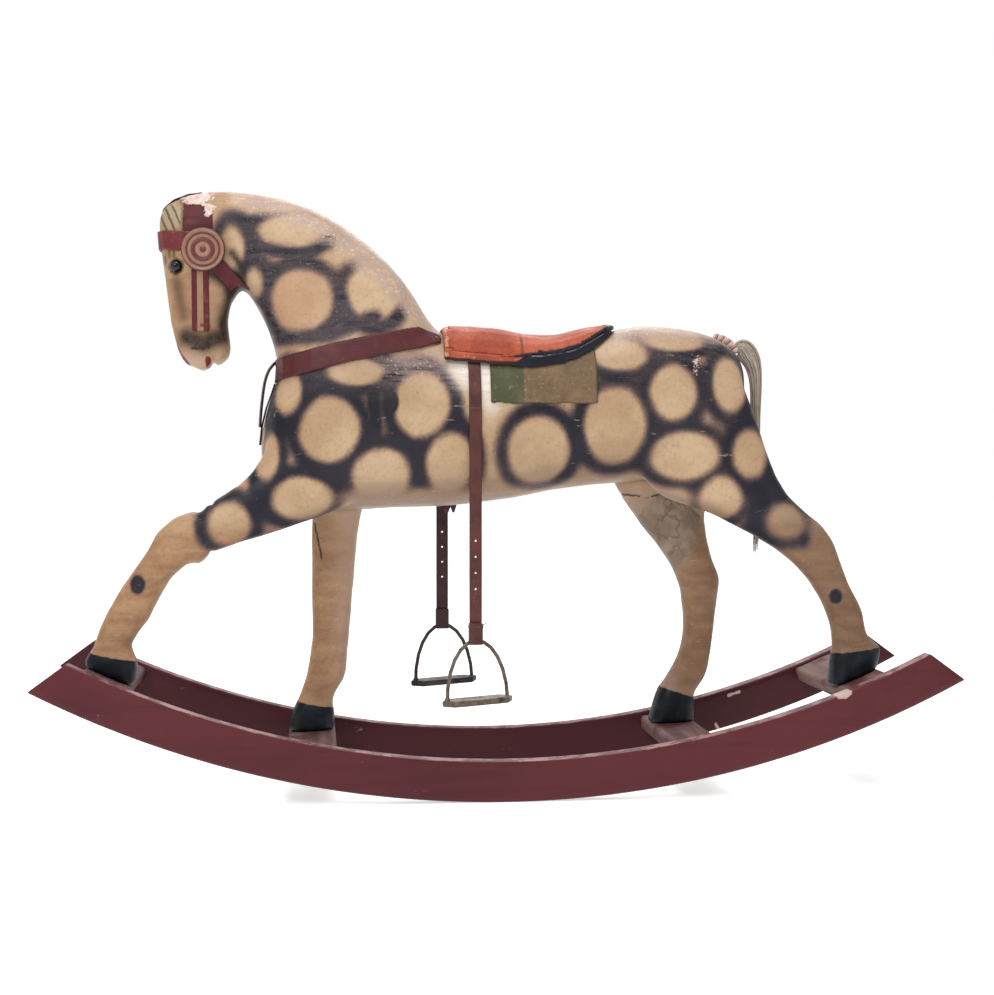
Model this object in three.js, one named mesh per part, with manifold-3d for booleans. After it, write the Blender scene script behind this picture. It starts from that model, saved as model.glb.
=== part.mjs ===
// A carved and painted wooden rocking horse, galloping, on a slatted bow-rocker stand.
// Millimetres. +Z up, head towards -X, near (left) side towards -Y, floor at z = 0.
import * as THREE from "three";
import { mergeVertices } from "three/addons/utils/BufferGeometryUtils.js";
import Module from "manifold-3d";

const wasm = await Module();
wasm.setup();

// Driving sizes of the stand
const ROCKER_RADIUS = 1289;
const ROCKER_DEPTH = 52;
const ROCKER_PLANK = 25;
const ROCKER_SEGMENTS = 23;
const STAND_WIDTH = 300;
const TOE_TO_TIP = 60;
const END_RAKE = 47;
const SLAT_WIDTH = 64;
const SLAT_THICKNESS = 18;
const SLAT_ROUNDING = 6;
const SLAT_DROP = 5;
const LEVEL_SLAT_TILT = 2.5;

// Driving sizes of the horse: its forms are thousandths of this height, deck to poll
const HORSE_HEIGHT = 740;
const LEG_SPREAD = 120;
const LEG_ROOT_DEPTH = 15;
const HOOF_FLARE = 3;
const EYE_RADIUS = 7.5;

// Driving sizes of the saddlery
const LEATHER = 3;
const CLOTH = 2.5;
const PAD_THICKNESS = 9;
const SADDLE_HALF_WIDTH = 75;
const BREAST_STRAP_WIDTH = 29;
const BREAST_STRAP_END = 9;
const CHEST_THONG_WIDTH = 14;
const CHEST_TAB_WIDTH = 20;
const BROW_BAND_WIDTH = 24;
const THROAT_LASH_WIDTH = 20;
const CHEEK_STRAP_WIDTH = 22;
const ROSETTE_RADIUS = 28.5;
const ROSETTE_THICKNESS = 8;
const ROSETTE_HUB_RADIUS = 5;
const STIRRUP_STRAP_WIDTH = 16;
const STRAP_HOLE_RADIUS = 1.8;
const STRAP_HOLE_PITCH = 21;
const STRAP_HOLE_RISE = 60;
const STRAP_HOLES = 4;
const LOOP_WIDTH = 18;
const LOOP_HEIGHT = 28;
const LOOP_THICKNESS = 14;
const LOOP_WALL = 2.5;
const IRON_WIDTH = 90;
const IRON_HEIGHT = 79;
const IRON_WIRE_RADIUS = 2.8;
const TREAD_DEPTH = 30;
const TREAD_THICKNESS = 5.5;
const TREAD_POINT = 11;
const IRON_TILT = 2;
const IRON_TURN = 16;
const TAIL_RADIUS = 9.5;
const BINDING_RADIUS = 8;

// Clearance between pieces that touch on the real horse
const GAP = 0.3;

// Mesh fineness
const BODY_SIDES = 20;
const BODY_RINGS = 38;
const LEG_SIDES = 12;
const LEG_RINGS = 15;
const WIRE_SIDES = 6;
const WIRE_RINGS = 12;

const unit = HORSE_HEIGHT / 1000;
const deck = ROCKER_DEPTH;
const along = (share) => share * unit;
const height = (share) => deck + share * unit;
const radians = THREE.MathUtils.degToRad;

// Ribs of the head, neck and trunk, from the muzzle over the poll to the rump.
// Each is x and height of its front or top end, x and height of its throat or belly end, half width.
const BODY_RIBS = [
  [-557, 686, -501, 688, 30],
  [-568, 699, -484, 703, 37],
  [-577, 720, -481, 721, 41],
  [-588, 773, -486, 775, 43],
  [-592, 804, -478, 807, 48],
  [-597, 840, -464, 823, 51],
  [-606, 911, -457, 826, 57],
  [-606, 949, -453, 822, 58],
  [-595, 973, -449, 818, 58],
  [-563, 990, -443, 810, 57],
  [-524, 998, -437, 799, 57],
  [-479, 1000, -429, 785, 60],
  [-429, 996, -420, 766, 62],
  [-375, 985, -412, 747, 66],
  [-321, 964, -406, 725, 72],
  [-271, 936, -401, 703, 79],
  [-224, 898, -398, 680, 86],
  [-184, 858, -402, 655, 93],
  [-157, 824, -412, 628, 100],
  [-137, 790, -422, 594, 106],
  [-119, 762, -428, 554, 112],
  [-103, 750, -427, 503, 116],
  [-84, 741, -398, 457, 117],
  [-57, 735, -337, 430, 119],
  [-17, 728, -239, 429, 121],
  [34, 722, -134, 433, 121],
  [89, 724, -35, 439, 121],
  [142, 734, 50, 453, 121],
  [191, 751, 127, 468, 121],
  [238, 762, 198, 474, 121],
  [293, 765, 265, 480, 119],
  [344, 760, 329, 491, 113],
  [385, 750, 381, 514, 103],
  [414, 737, 419, 547, 86],
  [440, 717, 443, 592, 65],
  [453, 688, 454, 636, 38],
];
const FLANK = 121;

// Ribs of the legs: x and height of the front or outer edge, x and height of the back edge, half width.
// Here a height is in thousandths of the way from the leg's own sole up to the elbow line.
const ELBOW_LINE = 500;
const LEGS = {
  left_fore: {
    side: -1,
    sole: [-730, -646],
    level: false,
    ribs: [
      [-383, 1321, -191, 1222, 35],
      [-420, 1120, -214, 981, 37],
      [-434, 1030, -256, 854, 37],
      [-462, 944, -312, 780, 37],
      [-502, 863, -388, 706, 35],
      [-546, 805, -461, 644, 33],
      [-596, 740, -541, 561, 32],
      [-618, 635, -577, 490, 31],
      [-648, 511, -599, 397, 30],
      [-679, 385, -614, 314, 30],
      [-700, 274, -624, 252, 30],
      [-711, 190, -652, 169, 29],
      [-720, 124, -642, 79, 31],
    ],
  },
  right_fore: {
    side: 1,
    sole: [-380, -296],
    level: true,
    ribs: [
      [-326, 1115, -211, 1115, 35],
      [-334, 940, -234, 928, 37],
      [-338, 820, -246, 820, 37],
      [-339, 710, -254, 700, 33],
      [-339, 574, -259, 572, 32],
      [-339, 438, -265, 436, 31],
      [-339, 342, -270, 321, 31],
      [-346, 245, -273, 231, 30],
      [-352, 192, -280, 185, 30],
      [-360, 148, -296, 139, 29],
      [-364, 111, -299, 86, 31],
    ],
  },
  right_hind: {
    side: 1,
    sole: [299, 386],
    level: true,
    ribs: [
      [249, 1230, 437, 1351, 35],
      [214, 1110, 460, 1180, 36],
      [212, 1016, 423, 976, 37],
      [233, 926, 404, 859, 37],
      [264, 820, 406, 772, 35],
      [301, 733, 414, 668, 33],
      [335, 634, 433, 574, 32],
      [356, 523, 430, 507, 31],
      [362, 404, 422, 395, 30],
      [359, 314, 418, 305, 30],
      [349, 247, 413, 229, 30],
      [339, 211, 407, 178, 30],
      [328, 174, 393, 139, 29],
      [319, 142, 382, 100, 31],
    ],
  },
  left_hind: {
    side: -1,
    sole: [604, 688],
    level: false,
    ribs: [
      [249, 1308, 437, 1458, 35],
      [243, 1038, 464, 1287, 37],
      [277, 891, 481, 1143, 37],
      [327, 838, 500, 999, 37],
      [386, 785, 526, 879, 35],
      [465, 673, 567, 779, 33],
      [521, 576, 599, 705, 32],
      [556, 488, 618, 582, 31],
      [585, 370, 638, 447, 30],
      [599, 273, 658, 350, 30],
      [604, 215, 666, 285, 30],
      [604, 171, 666, 215, 29],
      [605, 120, 692, 149, 31],
    ],
  },
};

// Solids and meshes

function toSolid(geometry) {
  const bare = geometry.index ? geometry.toNonIndexed() : geometry.clone();
  bare.deleteAttribute("normal");
  bare.deleteAttribute("uv");
  const merged = mergeVertices(bare, 1e-4);
  const vertProperties = new Float32Array(merged.attributes.position.array);
  const triVerts = new Uint32Array(merged.index.array);
  return new wasm.Manifold(new wasm.Mesh({ numProp: 3, vertProperties, triVerts }));
}

function toGeometry(solid) {
  const mesh = solid.getMesh();
  const geometry = new THREE.BufferGeometry();
  geometry.setAttribute("position", new THREE.BufferAttribute(new Float32Array(mesh.vertProperties), 3));
  geometry.setIndex(new THREE.BufferAttribute(new Uint32Array(mesh.triVerts), 1));
  return geometry;
}

// Joins rings of equally many points into one closed body, with its faces turned outwards
function loft(rings) {
  const count = rings[0].length;
  const points = rings.flat();
  const triangles = [];
  for (let r = 0; r + 1 < rings.length; r += 1) {
    for (let i = 0; i < count; i += 1) {
      const a = r * count + i;
      const b = r * count + ((i + 1) % count);
      triangles.push([a, b, b + count], [a, b + count, a + count]);
    }
  }
  const middle = (ring) => ring.reduce((sum, p) => sum.add(p), new THREE.Vector3()).divideScalar(count);
  const last = (rings.length - 1) * count;
  const firstMiddle = points.push(middle(rings[0])) - 1;
  const lastMiddle = points.push(middle(rings[rings.length - 1])) - 1;
  for (let i = 0; i < count; i += 1) {
    const next = (i + 1) % count;
    triangles.push([firstMiddle, next, i], [lastMiddle, last + i, last + next]);
  }
  let volume = 0;
  for (const [a, b, c] of triangles) {
    volume += points[a].dot(points[b].clone().cross(points[c]));
  }
  const outward = volume > 0 ? triangles : triangles.map(([a, b, c]) => [a, c, b]);
  const geometry = new THREE.BufferGeometry().setFromPoints(points);
  geometry.setIndex(outward.flat());
  return toSolid(geometry);
}

// A rounded section between two points of the side view, flatter on its sides as the power grows
function section(ends, halfWidth, middleY, sides, power) {
  const [head, foot] = ends;
  const ring = [];
  for (let i = 0; i < sides; i += 1) {
    const angle = (2 * Math.PI * i) / sides;
    const across = Math.sign(Math.cos(angle)) * Math.abs(Math.cos(angle)) ** (2 / power);
    const out = Math.sign(Math.sin(angle)) * Math.abs(Math.sin(angle)) ** (2 / power);
    const t = (1 - across) / 2;
    ring.push(new THREE.Vector3(
      THREE.MathUtils.lerp(head.x, foot.x, t),
      middleY + halfWidth * out,
      THREE.MathUtils.lerp(head.z, foot.z, t),
    ));
  }
  return ring;
}

// Carries a smooth curve through the two ends of every rib and cuts sections along it
function ribbedLoft(ribs, middleY, [sides, steps], power, grow) {
  const heads = [];
  const feet = [];
  for (const [head, foot, halfWidth] of ribs) {
    heads.push(new THREE.Vector3(head.x, halfWidth, head.z));
    feet.push(new THREE.Vector3(foot.x, halfWidth, foot.z));
  }
  const headCurve = new THREE.CatmullRomCurve3(heads);
  const footCurve = new THREE.CatmullRomCurve3(feet);
  const rings = [];
  for (let i = 0; i <= steps; i += 1) {
    const head = headCurve.getPoint(i / steps);
    const foot = footCurve.getPoint(i / steps);
    const halfWidth = head.y + grow;
    const outward = new THREE.Vector3(head.x - foot.x, 0, head.z - foot.z).setLength(grow);
    head.add(outward);
    foot.sub(outward);
    rings.push(section([head, foot], halfWidth, middleY(i / steps), sides, power));
  }
  return loft(rings);
}

// A flat outline of the side view, [x, z] points, carried across from one y to another
function prism(outline, fromY, toY) {
  const shape = new THREE.Shape(outline.map(([x, z]) => new THREE.Vector2(x, z)));
  const geometry = new THREE.ExtrudeGeometry(shape, { depth: toY - fromY, bevelEnabled: false });
  geometry.rotateX(Math.PI / 2);
  geometry.translate(0, toY, 0);
  return toSolid(geometry);
}

// The reach in y of what lies between two distances from the middle, on one side of the horse
function outside(side, inner, outer) {
  return [side * inner, side * outer].sort((a, b) => a - b);
}

function box(from, to) {
  const outline = [[from[0], from[2]], [to[0], from[2]], [to[0], to[2]], [from[0], to[2]]];
  return prism(outline, from[1], to[1]);
}

// The outline, in the side view, of a band that follows [x, z] points with a width at each of them
function bandOutline(points, widths) {
  const above = [];
  const below = [];
  points.forEach(([x, z], i) => {
    const before = points[Math.max(i - 1, 0)];
    const after = points[Math.min(i + 1, points.length - 1)];
    const side = new THREE.Vector2(before[1] - after[1], after[0] - before[0]).setLength(widths[i] / 2);
    above.push([x + side.x, z + side.y]);
    below.unshift([x - side.x, z - side.y]);
  });
  return above.concat(below);
}

// A bar along a curve that lies in an upright plane of constant y; radii gives its half thickness
// in that plane and its half width across, at each share of the way
function bar(curve, radii, steps, sides, placing = new THREE.Matrix4()) {
  const rings = [];
  for (let i = 0; i <= steps; i += 1) {
    const centre = curve.getPoint(i / steps);
    const tangent = curve.getTangent(i / steps);
    const normal = new THREE.Vector3(-tangent.z, 0, tangent.x).normalize();
    const [thick, wide] = radii(i / steps);
    const ring = [];
    for (let k = 0; k < sides; k += 1) {
      const angle = (2 * Math.PI * k) / sides;
      const point = centre.clone().addScaledVector(normal, thick * Math.cos(angle));
      point.y += wide * Math.sin(angle);
      ring.push(point.applyMatrix4(placing));
    }
    rings.push(ring);
  }
  return loft(rings);
}

// Stand

const soleEnds = Object.values(LEGS).flatMap((leg) => leg.sole);
const outerToe = Math.max(...soleEnds.map((x) => Math.abs(along(x))));
const rockerTip = outerToe + TOE_TO_TIP;
const rockerCorner = rockerTip - END_RAKE;
const runningEdge = (x) => ROCKER_RADIUS - Math.sqrt(ROCKER_RADIUS ** 2 - x ** 2);
const topRadius = ROCKER_RADIUS - ROCKER_DEPTH;
const topEdge = (x) => ROCKER_RADIUS - Math.sqrt(topRadius ** 2 - x ** 2);

function makeRocker(side) {
  const outline = [];
  for (let i = 0; i <= ROCKER_SEGMENTS; i += 1) {
    const x = THREE.MathUtils.lerp(-rockerTip, rockerTip, i / ROCKER_SEGMENTS);
    outline.push([x, runningEdge(x)]);
  }
  for (let i = 0; i <= ROCKER_SEGMENTS; i += 1) {
    const x = THREE.MathUtils.lerp(rockerCorner, -rockerCorner, i / ROCKER_SEGMENTS);
    outline.push([x, topEdge(x)]);
  }
  const inner = STAND_WIDTH / 2 - ROCKER_PLANK;
  const floor = runningEdge(rockerTip / ROCKER_SEGMENTS);
  const lowered = outline.map(([x, z]) => [x, z - floor]);
  return prism(lowered, ...outside(side, inner, inner + ROCKER_PLANK));
}

// Where a slat lies: its middle, its tilt, and the line of its upper face
function slatPlace(leg) {
  const x = (along(leg.sole[0]) + along(leg.sole[1])) / 2;
  const tilt = leg.level ? radians(LEVEL_SLAT_TILT) : Math.asin(x / topRadius);
  const reach = (SLAT_WIDTH / 2) * Math.cos(tilt);
  const slope = Math.tan(tilt);
  const ends = [x - reach, x + reach].map((end) => topEdge(end) - slope * (end - x));
  const z = Math.min(...ends) - SLAT_DROP;
  return { x, z, tilt, faceAt: (at) => z + slope * (at - x) };
}

function makeSlat(leg) {
  const { x, z, tilt } = slatPlace(leg);
  const r = SLAT_ROUNDING;
  const half = SLAT_WIDTH / 2;
  const shape = new THREE.Shape();
  shape.moveTo(-half + r, 0);
  shape.absarc(-half + r, -r, r, Math.PI / 2, Math.PI, false);
  shape.lineTo(-half, -SLAT_THICKNESS);
  shape.lineTo(half, -SLAT_THICKNESS);
  shape.absarc(half - r, -r, r, 0, Math.PI / 2, false);
  const outline = shape.getPoints(3).map((p) => {
    const turned = p.clone().rotateAround(new THREE.Vector2(), tilt);
    return [x + turned.x, z + turned.y];
  });
  const inner = STAND_WIDTH / 2 - ROCKER_PLANK - GAP;
  return prism(outline.slice(1), -inner, inner);
}

// Horse

const at = (x, z) => new THREE.Vector3(x, 0, z);
const BODY_POWER = 2.5;
const LEG_POWER = 2.3;
const HOOF_POWER = 2.6;

function makeTrunk(grow) {
  const ribs = BODY_RIBS.map(([xa, ha, xb, hb, w]) => [
    at(along(xa), height(ha)), at(along(xb), height(hb)), along(w),
  ]);
  return ribbedLoft(ribs, () => 0, [BODY_SIDES, BODY_RINGS], BODY_POWER, grow);
}

function makeLeg(leg) {
  const { z, faceAt } = slatPlace(leg);
  const lift = (share) => THREE.MathUtils.lerp(z, height(ELBOW_LINE), share / 1000);
  const ribs = leg.ribs.map(([xa, ha, xb, hb, w]) => [
    at(along(xa), lift(ha)), at(along(xb), lift(hb)), along(w),
  ]);
  const rootY = along(FLANK) - LEG_ROOT_DEPTH - ribs[0][2];
  const middleY = (t) => leg.side * THREE.MathUtils.lerp(rootY, LEG_SPREAD / 2, t);
  const limb = ribbedLoft(ribs, middleY, [LEG_SIDES, LEG_RINGS], LEG_POWER, 0);

  const [toe, heel, halfWidth] = ribs[ribs.length - 1];
  const onSlat = (x) => at(x, faceAt(x) + GAP);
  const hoofRing = (share, flare) => {
    const front = at(toe.x - flare, toe.z).lerp(onSlat(along(leg.sole[0]) - flare), share);
    const back = at(heel.x + flare, heel.z).lerp(onSlat(along(leg.sole[1])), share);
    return section([front, back], halfWidth + flare, leg.side * LEG_SPREAD / 2, LEG_SIDES, HOOF_POWER);
  };
  const hoof = loft([hoofRing(0, HOOF_FLARE / 2), hoofRing(0.3, HOOF_FLARE), hoofRing(1, HOOF_FLARE)]);
  return limb.add(hoof);
}

const eyePlace = (side) => new THREE.Vector3(along(-574), side * along(47), height(860));

function makeEye(side, grow) {
  const geometry = new THREE.SphereGeometry(EYE_RADIUS + grow, 10, 7);
  const place = eyePlace(side);
  geometry.translate(place.x, place.y, place.z);
  return toSolid(geometry);
}

// The cut between the lips, straight across the muzzle, and a nostril on each side
function makeMouth() {
  const outline = [[-515, 675], [-507, 675], [-506, 703], [-514, 705]];
  return prism(outline.map(([x, h]) => [along(x), height(h)]), -along(60), along(60));
}

function makeNostril(side) {
  const geometry = new THREE.SphereGeometry(1, 10, 6);
  geometry.scale(along(13), along(10), along(8));
  geometry.translate(along(-537), side * along(43), height(718));
  return toSolid(geometry);
}

function makeHorse() {
  let horse = makeTrunk(0);
  for (const leg of Object.values(LEGS)) {
    horse = horse.add(makeLeg(leg));
  }
  horse = horse.subtract(makeMouth());
  for (const side of [-1, 1]) {
    horse = horse.subtract(makeEye(side, GAP)).subtract(makeNostril(side));
  }
  return horse;
}

// Saddlery: whatever lies on the horse is cut from shells around its trunk

const shells = new Map();
function trunkGrown(grow) {
  if (!shells.has(grow)) {
    shells.set(grow, makeTrunk(grow));
  }
  return shells.get(grow);
}

function shell(inner, thickness) {
  return trunkGrown(inner + thickness).subtract(trunkGrown(inner));
}

// A piece of leather that lies on the horse inside an outline of the side view
function patch(outline, thickness, fromY, toY) {
  return shell(GAP, thickness).intersect(prism(outline, fromY, toY));
}

const FAR = HORSE_HEIGHT;
const placed = (outline) => outline.map(([x, h]) => [along(x), height(h)]);

function makeSaddleCloth() {
  return patch(placed([[-22, 617], [168, 619], [166, 780], [-30, 780]]), CLOTH, -FAR, FAR);
}

// The saddle's x, the height of its top line and the height of its rim at the same place
const SADDLE_STATIONS = [
  [-104, 756, 706],
  [-92, 762, 706],
  [-50, 762, 704],
  [5, 757, 701],
  [51, 748, 701],
  [78, 746, 704],
  [107, 748, 712],
  [134, 754, 722],
  [160, 760, 734],
  [180, 764, 745],
  [196, 766, 754],
  [207, 765, 759],
  [212, 760, 758],
];
const SADDLE_ROUND_FROM = 110;
const SADDLE_ROUND_TO = 214;
const SADDLE_SIDES = 8;
const SADDLE_CUT = 640;

function saddleHalfWidth(x) {
  const t = Math.max(0, (x - SADDLE_ROUND_FROM) / (SADDLE_ROUND_TO - SADDLE_ROUND_FROM));
  return SADDLE_HALF_WIDTH * (1 - t ** 2.4) ** (1 / 2.4);
}

function makeSaddleBlock() {
  const rings = SADDLE_STATIONS.map(([x, top, rim]) => {
    const half = saddleHalfWidth(x);
    const ring = [];
    for (let i = 0; i <= SADDLE_SIDES; i += 1) {
      const angle = (Math.PI * i) / SADDLE_SIDES;
      const z = THREE.MathUtils.lerp(height(rim), height(top), Math.sin(angle) ** 0.8);
      ring.push(new THREE.Vector3(along(x), half * Math.cos(angle), z));
    }
    ring.push(new THREE.Vector3(along(x), -half, height(SADDLE_CUT)));
    ring.push(new THREE.Vector3(along(x), half, height(SADDLE_CUT)));
    return ring;
  });
  return loft(rings);
}

// The pad clears the cloth and the stirrup straps that run under it
const padFrom = 2 * GAP + Math.max(CLOTH, LEATHER);

function makeSaddlePad() {
  return makeSaddleBlock().intersect(shell(padFrom, PAD_THICKNESS));
}

function makeSaddleSeat() {
  return makeSaddleBlock().subtract(trunkGrown(padFrom + PAD_THICKNESS + GAP));
}

// The breast strap runs up from the chest to the front of the saddle, where it is drawn in
const BREAST_LINE = [[-460, 662], [-397, 679], [-286, 707], [-216, 722], [-146, 736], [-107, 735]];

function makeBreastStrap() {
  const widths = BREAST_LINE.map(() => BREAST_STRAP_WIDTH);
  widths[widths.length - 1] = BREAST_STRAP_END;
  return patch(bandOutline(placed(BREAST_LINE), widths), LEATHER, -FAR, FAR);
}

// A thin thong lies on the chest below the breast strap, and a worn tab bows out over it
function makeChestThong() {
  const half = CHEST_THONG_WIDTH / 2;
  const chest = placed([[-460, 545], [-380, 545], [-380, 680], [-460, 680]]);
  const strap = bandOutline(placed(BREAST_LINE), BREAST_LINE.map(() => BREAST_STRAP_WIDTH + 2 * GAP));
  return patch(chest, LEATHER, -half, half).subtract(prism(strap, -FAR, FAR));
}

const TAB_LINE = [[-398, 698], [-413, 681], [-421, 658], [-425, 632], [-428, 604], [-430, 577]];

function makeChestTab() {
  const curve = new THREE.CatmullRomCurve3(placed(TAB_LINE).map(([x, z]) => at(x, z)));
  const strip = bar(curve, () => [LEATHER / Math.SQRT2, CHEST_TAB_WIDTH / Math.SQRT2], 10, 4);
  return strip.subtract(trunkGrown(LEATHER + 2 * GAP));
}

// Bridle: rosettes, with the brow band, throat lash and cheek straps ending under them

const ROSETTE = placed([[-526, 888]])[0];
const ROSETTE_TURNING = [[1, 0], [1, 0.6], [0.92, 1], [0.74, 0.75], [0.5, 0.95], [0.24, 0.8], [0, 1]];
const THROAT_INSIDE = 37;

function makeRosette(side) {
  const back = along(58) + LEATHER + 2 * GAP;
  const profile = [new THREE.Vector2(0, -back / 2)];
  profile.push(new THREE.Vector2(ROSETTE_HUB_RADIUS, -back / 2), new THREE.Vector2(ROSETTE_HUB_RADIUS, 0));
  for (const [r, h] of ROSETTE_TURNING) {
    profile.push(new THREE.Vector2(r * ROSETTE_RADIUS, h * ROSETTE_THICKNESS));
  }
  const geometry = new THREE.LatheGeometry(profile, 16);
  if (side < 0) {
    geometry.rotateZ(Math.PI);
  }
  geometry.translate(ROSETTE[0], side * back, ROSETTE[1]);
  return toSolid(geometry).subtract(trunkGrown(GAP));
}

function makeBrowBand() {
  const line = placed([[-651, 912], [-543, 902]]);
  return patch(bandOutline(line, [BROW_BAND_WIDTH, BROW_BAND_WIDTH]), LEATHER, -FAR, FAR);
}

// The lash is nailed off on each side of the throat
function makeThroatLash(side) {
  const line = placed([[-515, 877], [-456, 811]]);
  const outline = bandOutline(line, [THROAT_LASH_WIDTH, THROAT_LASH_WIDTH]);
  return patch(outline, LEATHER, ...outside(side, along(THROAT_INSIDE), FAR));
}

function makeCheekStrap(side) {
  const line = placed([[-532, 854], [-532, 747]]);
  const outline = bandOutline(line, [CHEEK_STRAP_WIDTH, CHEEK_STRAP_WIDTH]);
  return patch(outline, LEATHER, ...outside(side, 0, FAR));
}

// Stirrups: a strap down each flank, a folded loop at its end, and the iron hung in the loop

const STRAP_TOP = 725;
const STRAP_LEAVES_FLANK = 590;
const STRAP_LAP = 20;
const STIRRUPS = {
  left: { side: -1, x: along(-51), ironTop: height(201) },
  right: { side: 1, x: along(-92), ironTop: height(206) },
};

function makeStirrup({ side, x, ironTop }) {
  const half = STIRRUP_STRAP_WIDTH / 2;
  const lapFrom = height(STRAP_LEAVES_FLANK - STRAP_LAP);
  const lapTo = height(STRAP_LEAVES_FLANK + STRAP_LAP);
  const run = bandOutline([[x, lapFrom], [x, height(STRAP_TOP)]], [2 * half, 2 * half]);
  const flank = patch(run, LEATHER, ...outside(side, 0, FAR));
  const bounds = flank.boundingBox();
  const face = side < 0 ? -bounds.min[1] : bounds.max[1];
  const [fromY, toY] = outside(side, face - LEATHER, face);
  const wireBed = LOOP_WALL + IRON_WIRE_RADIUS;
  const loopTop = ironTop - wireBed + LOOP_HEIGHT;
  let strap = flank.add(box([x - half, fromY, loopTop + GAP], [x + half, toY, lapTo]));
  for (let i = 0; i < STRAP_HOLES; i += 1) {
    const hole = new THREE.CylinderGeometry(STRAP_HOLE_RADIUS, STRAP_HOLE_RADIUS, 2 * LOOP_THICKNESS, 6);
    hole.translate(x, side * face, loopTop + along(STRAP_HOLE_RISE) + i * STRAP_HOLE_PITCH);
    strap = strap.subtract(toSolid(hole));
  }

  const centreY = side * (face - LEATHER / 2);
  const hang = new THREE.Matrix4().makeTranslation(x, centreY, ironTop)
    .multiply(new THREE.Matrix4().makeRotationZ(radians(IRON_TURN)))
    .multiply(new THREE.Matrix4().makeRotationY(-radians(IRON_TILT)))
    .multiply(new THREE.Matrix4().makeTranslation(0, 0, -IRON_HEIGHT));
  const archPoints = [];
  const span = IRON_WIDTH / 2 - IRON_WIRE_RADIUS;
  for (let i = 0; i <= 12; i += 1) {
    const angle = (Math.PI * i) / 12;
    archPoints.push(at(-span * Math.cos(angle), IRON_HEIGHT * Math.sin(angle)));
  }
  const arch = new THREE.CatmullRomCurve3(archPoints);
  const wire = (radius) => bar(arch, () => [radius, radius], WIRE_RINGS, WIRE_SIDES, hang);
  const iron = wire(IRON_WIRE_RADIUS).add(toSolid(treadGeometry().applyMatrix4(hang)));

  const loopHalf = LOOP_WIDTH / 2;
  const loopFrom = [x - loopHalf, centreY - LOOP_THICKNESS / 2, ironTop - wireBed];
  const loopTo = [x + loopHalf, centreY + LOOP_THICKNESS / 2, loopTop];
  const loop = box(loopFrom, loopTo).subtract(wire(IRON_WIRE_RADIUS + GAP));
  return { strap, loop, iron };
}

// The tread is a flat bar with pointed ends
function treadGeometry() {
  const tip = IRON_WIDTH / 2 + IRON_WIRE_RADIUS;
  const shoulder = tip - TREAD_POINT;
  const half = TREAD_DEPTH / 2;
  const outline = [
    [-tip, 0], [-shoulder, -half], [shoulder, -half], [tip, 0], [shoulder, half], [-shoulder, half],
  ];
  const shape = new THREE.Shape(outline.map(([x, y]) => new THREE.Vector2(x, y)));
  const geometry = new THREE.ExtrudeGeometry(shape, { depth: TREAD_THICKNESS, bevelEnabled: false });
  geometry.translate(0, 0, -TREAD_THICKNESS / 2);
  return geometry;
}

// Tail: a bound dock on the rump and a lock of hair that falls from it between the thighs

const DOCK_LINE = [[404, 744], [424, 738], [446, 720]];
const TAIL_LINE = [
  [442, 723], [467, 729], [484, 709], [487, 670], [480, 600], [481, 520], [486, 430], [482, 345],
];

function makeBinding(radius, reach) {
  const points = placed(DOCK_LINE).map(([x, z]) => at(x, z));
  const end = points[points.length - 1];
  end.add(end.clone().sub(points[points.length - 2]).setLength(reach));
  return bar(new THREE.CatmullRomCurve3(points), () => [radius, radius], 5, 8);
}

function makeTail() {
  const curve = new THREE.CatmullRomCurve3(placed(TAIL_LINE).map(([x, z]) => at(x, z)));
  const swell = (t) => TAIL_RADIUS * (0.45 + 0.55 * Math.sin(Math.PI * Math.min(1, 0.15 + t)));
  const lock = bar(curve, (t) => [0.8 * swell(t), swell(t)], 16, 8);
  return lock.subtract(makeBinding(BINDING_RADIUS + GAP, GAP)).subtract(trunkGrown(GAP));
}

// Materials and assembly

function material(color, roughness, metalness = 0) {
  return new THREE.MeshStandardMaterial({ color, roughness, metalness });
}

const dappledPaint = material(0xc8aa82, 0.6);
const rockerPaint = material(0x5f3034, 0.55);
const slatPaint = material(0x8a6260, 0.7);
const seatLeather = material(0xc85a41, 0.65);
const padLeather = material(0x141a2d, 0.5);
const felt = material(0x6e5f4a, 0.95);
const strapLeather = material(0x643a3c, 0.55);
const wornLeather = material(0x3a2a26, 0.8);
const rosettePaint = material(0xa06a58, 0.6);
const glass = material(0x101214, 0.1);
const iron = material(0x6e6455, 0.5, 0.8);
const hair = material(0xb9a48e, 0.9);
const cord = material(0xb07468, 0.9);

const rockingHorse = new THREE.Group();

function addPiece(name, solid, finish) {
  const mesh = new THREE.Mesh(toGeometry(solid), finish);
  mesh.name = name;
  rockingHorse.add(mesh);
}

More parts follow.
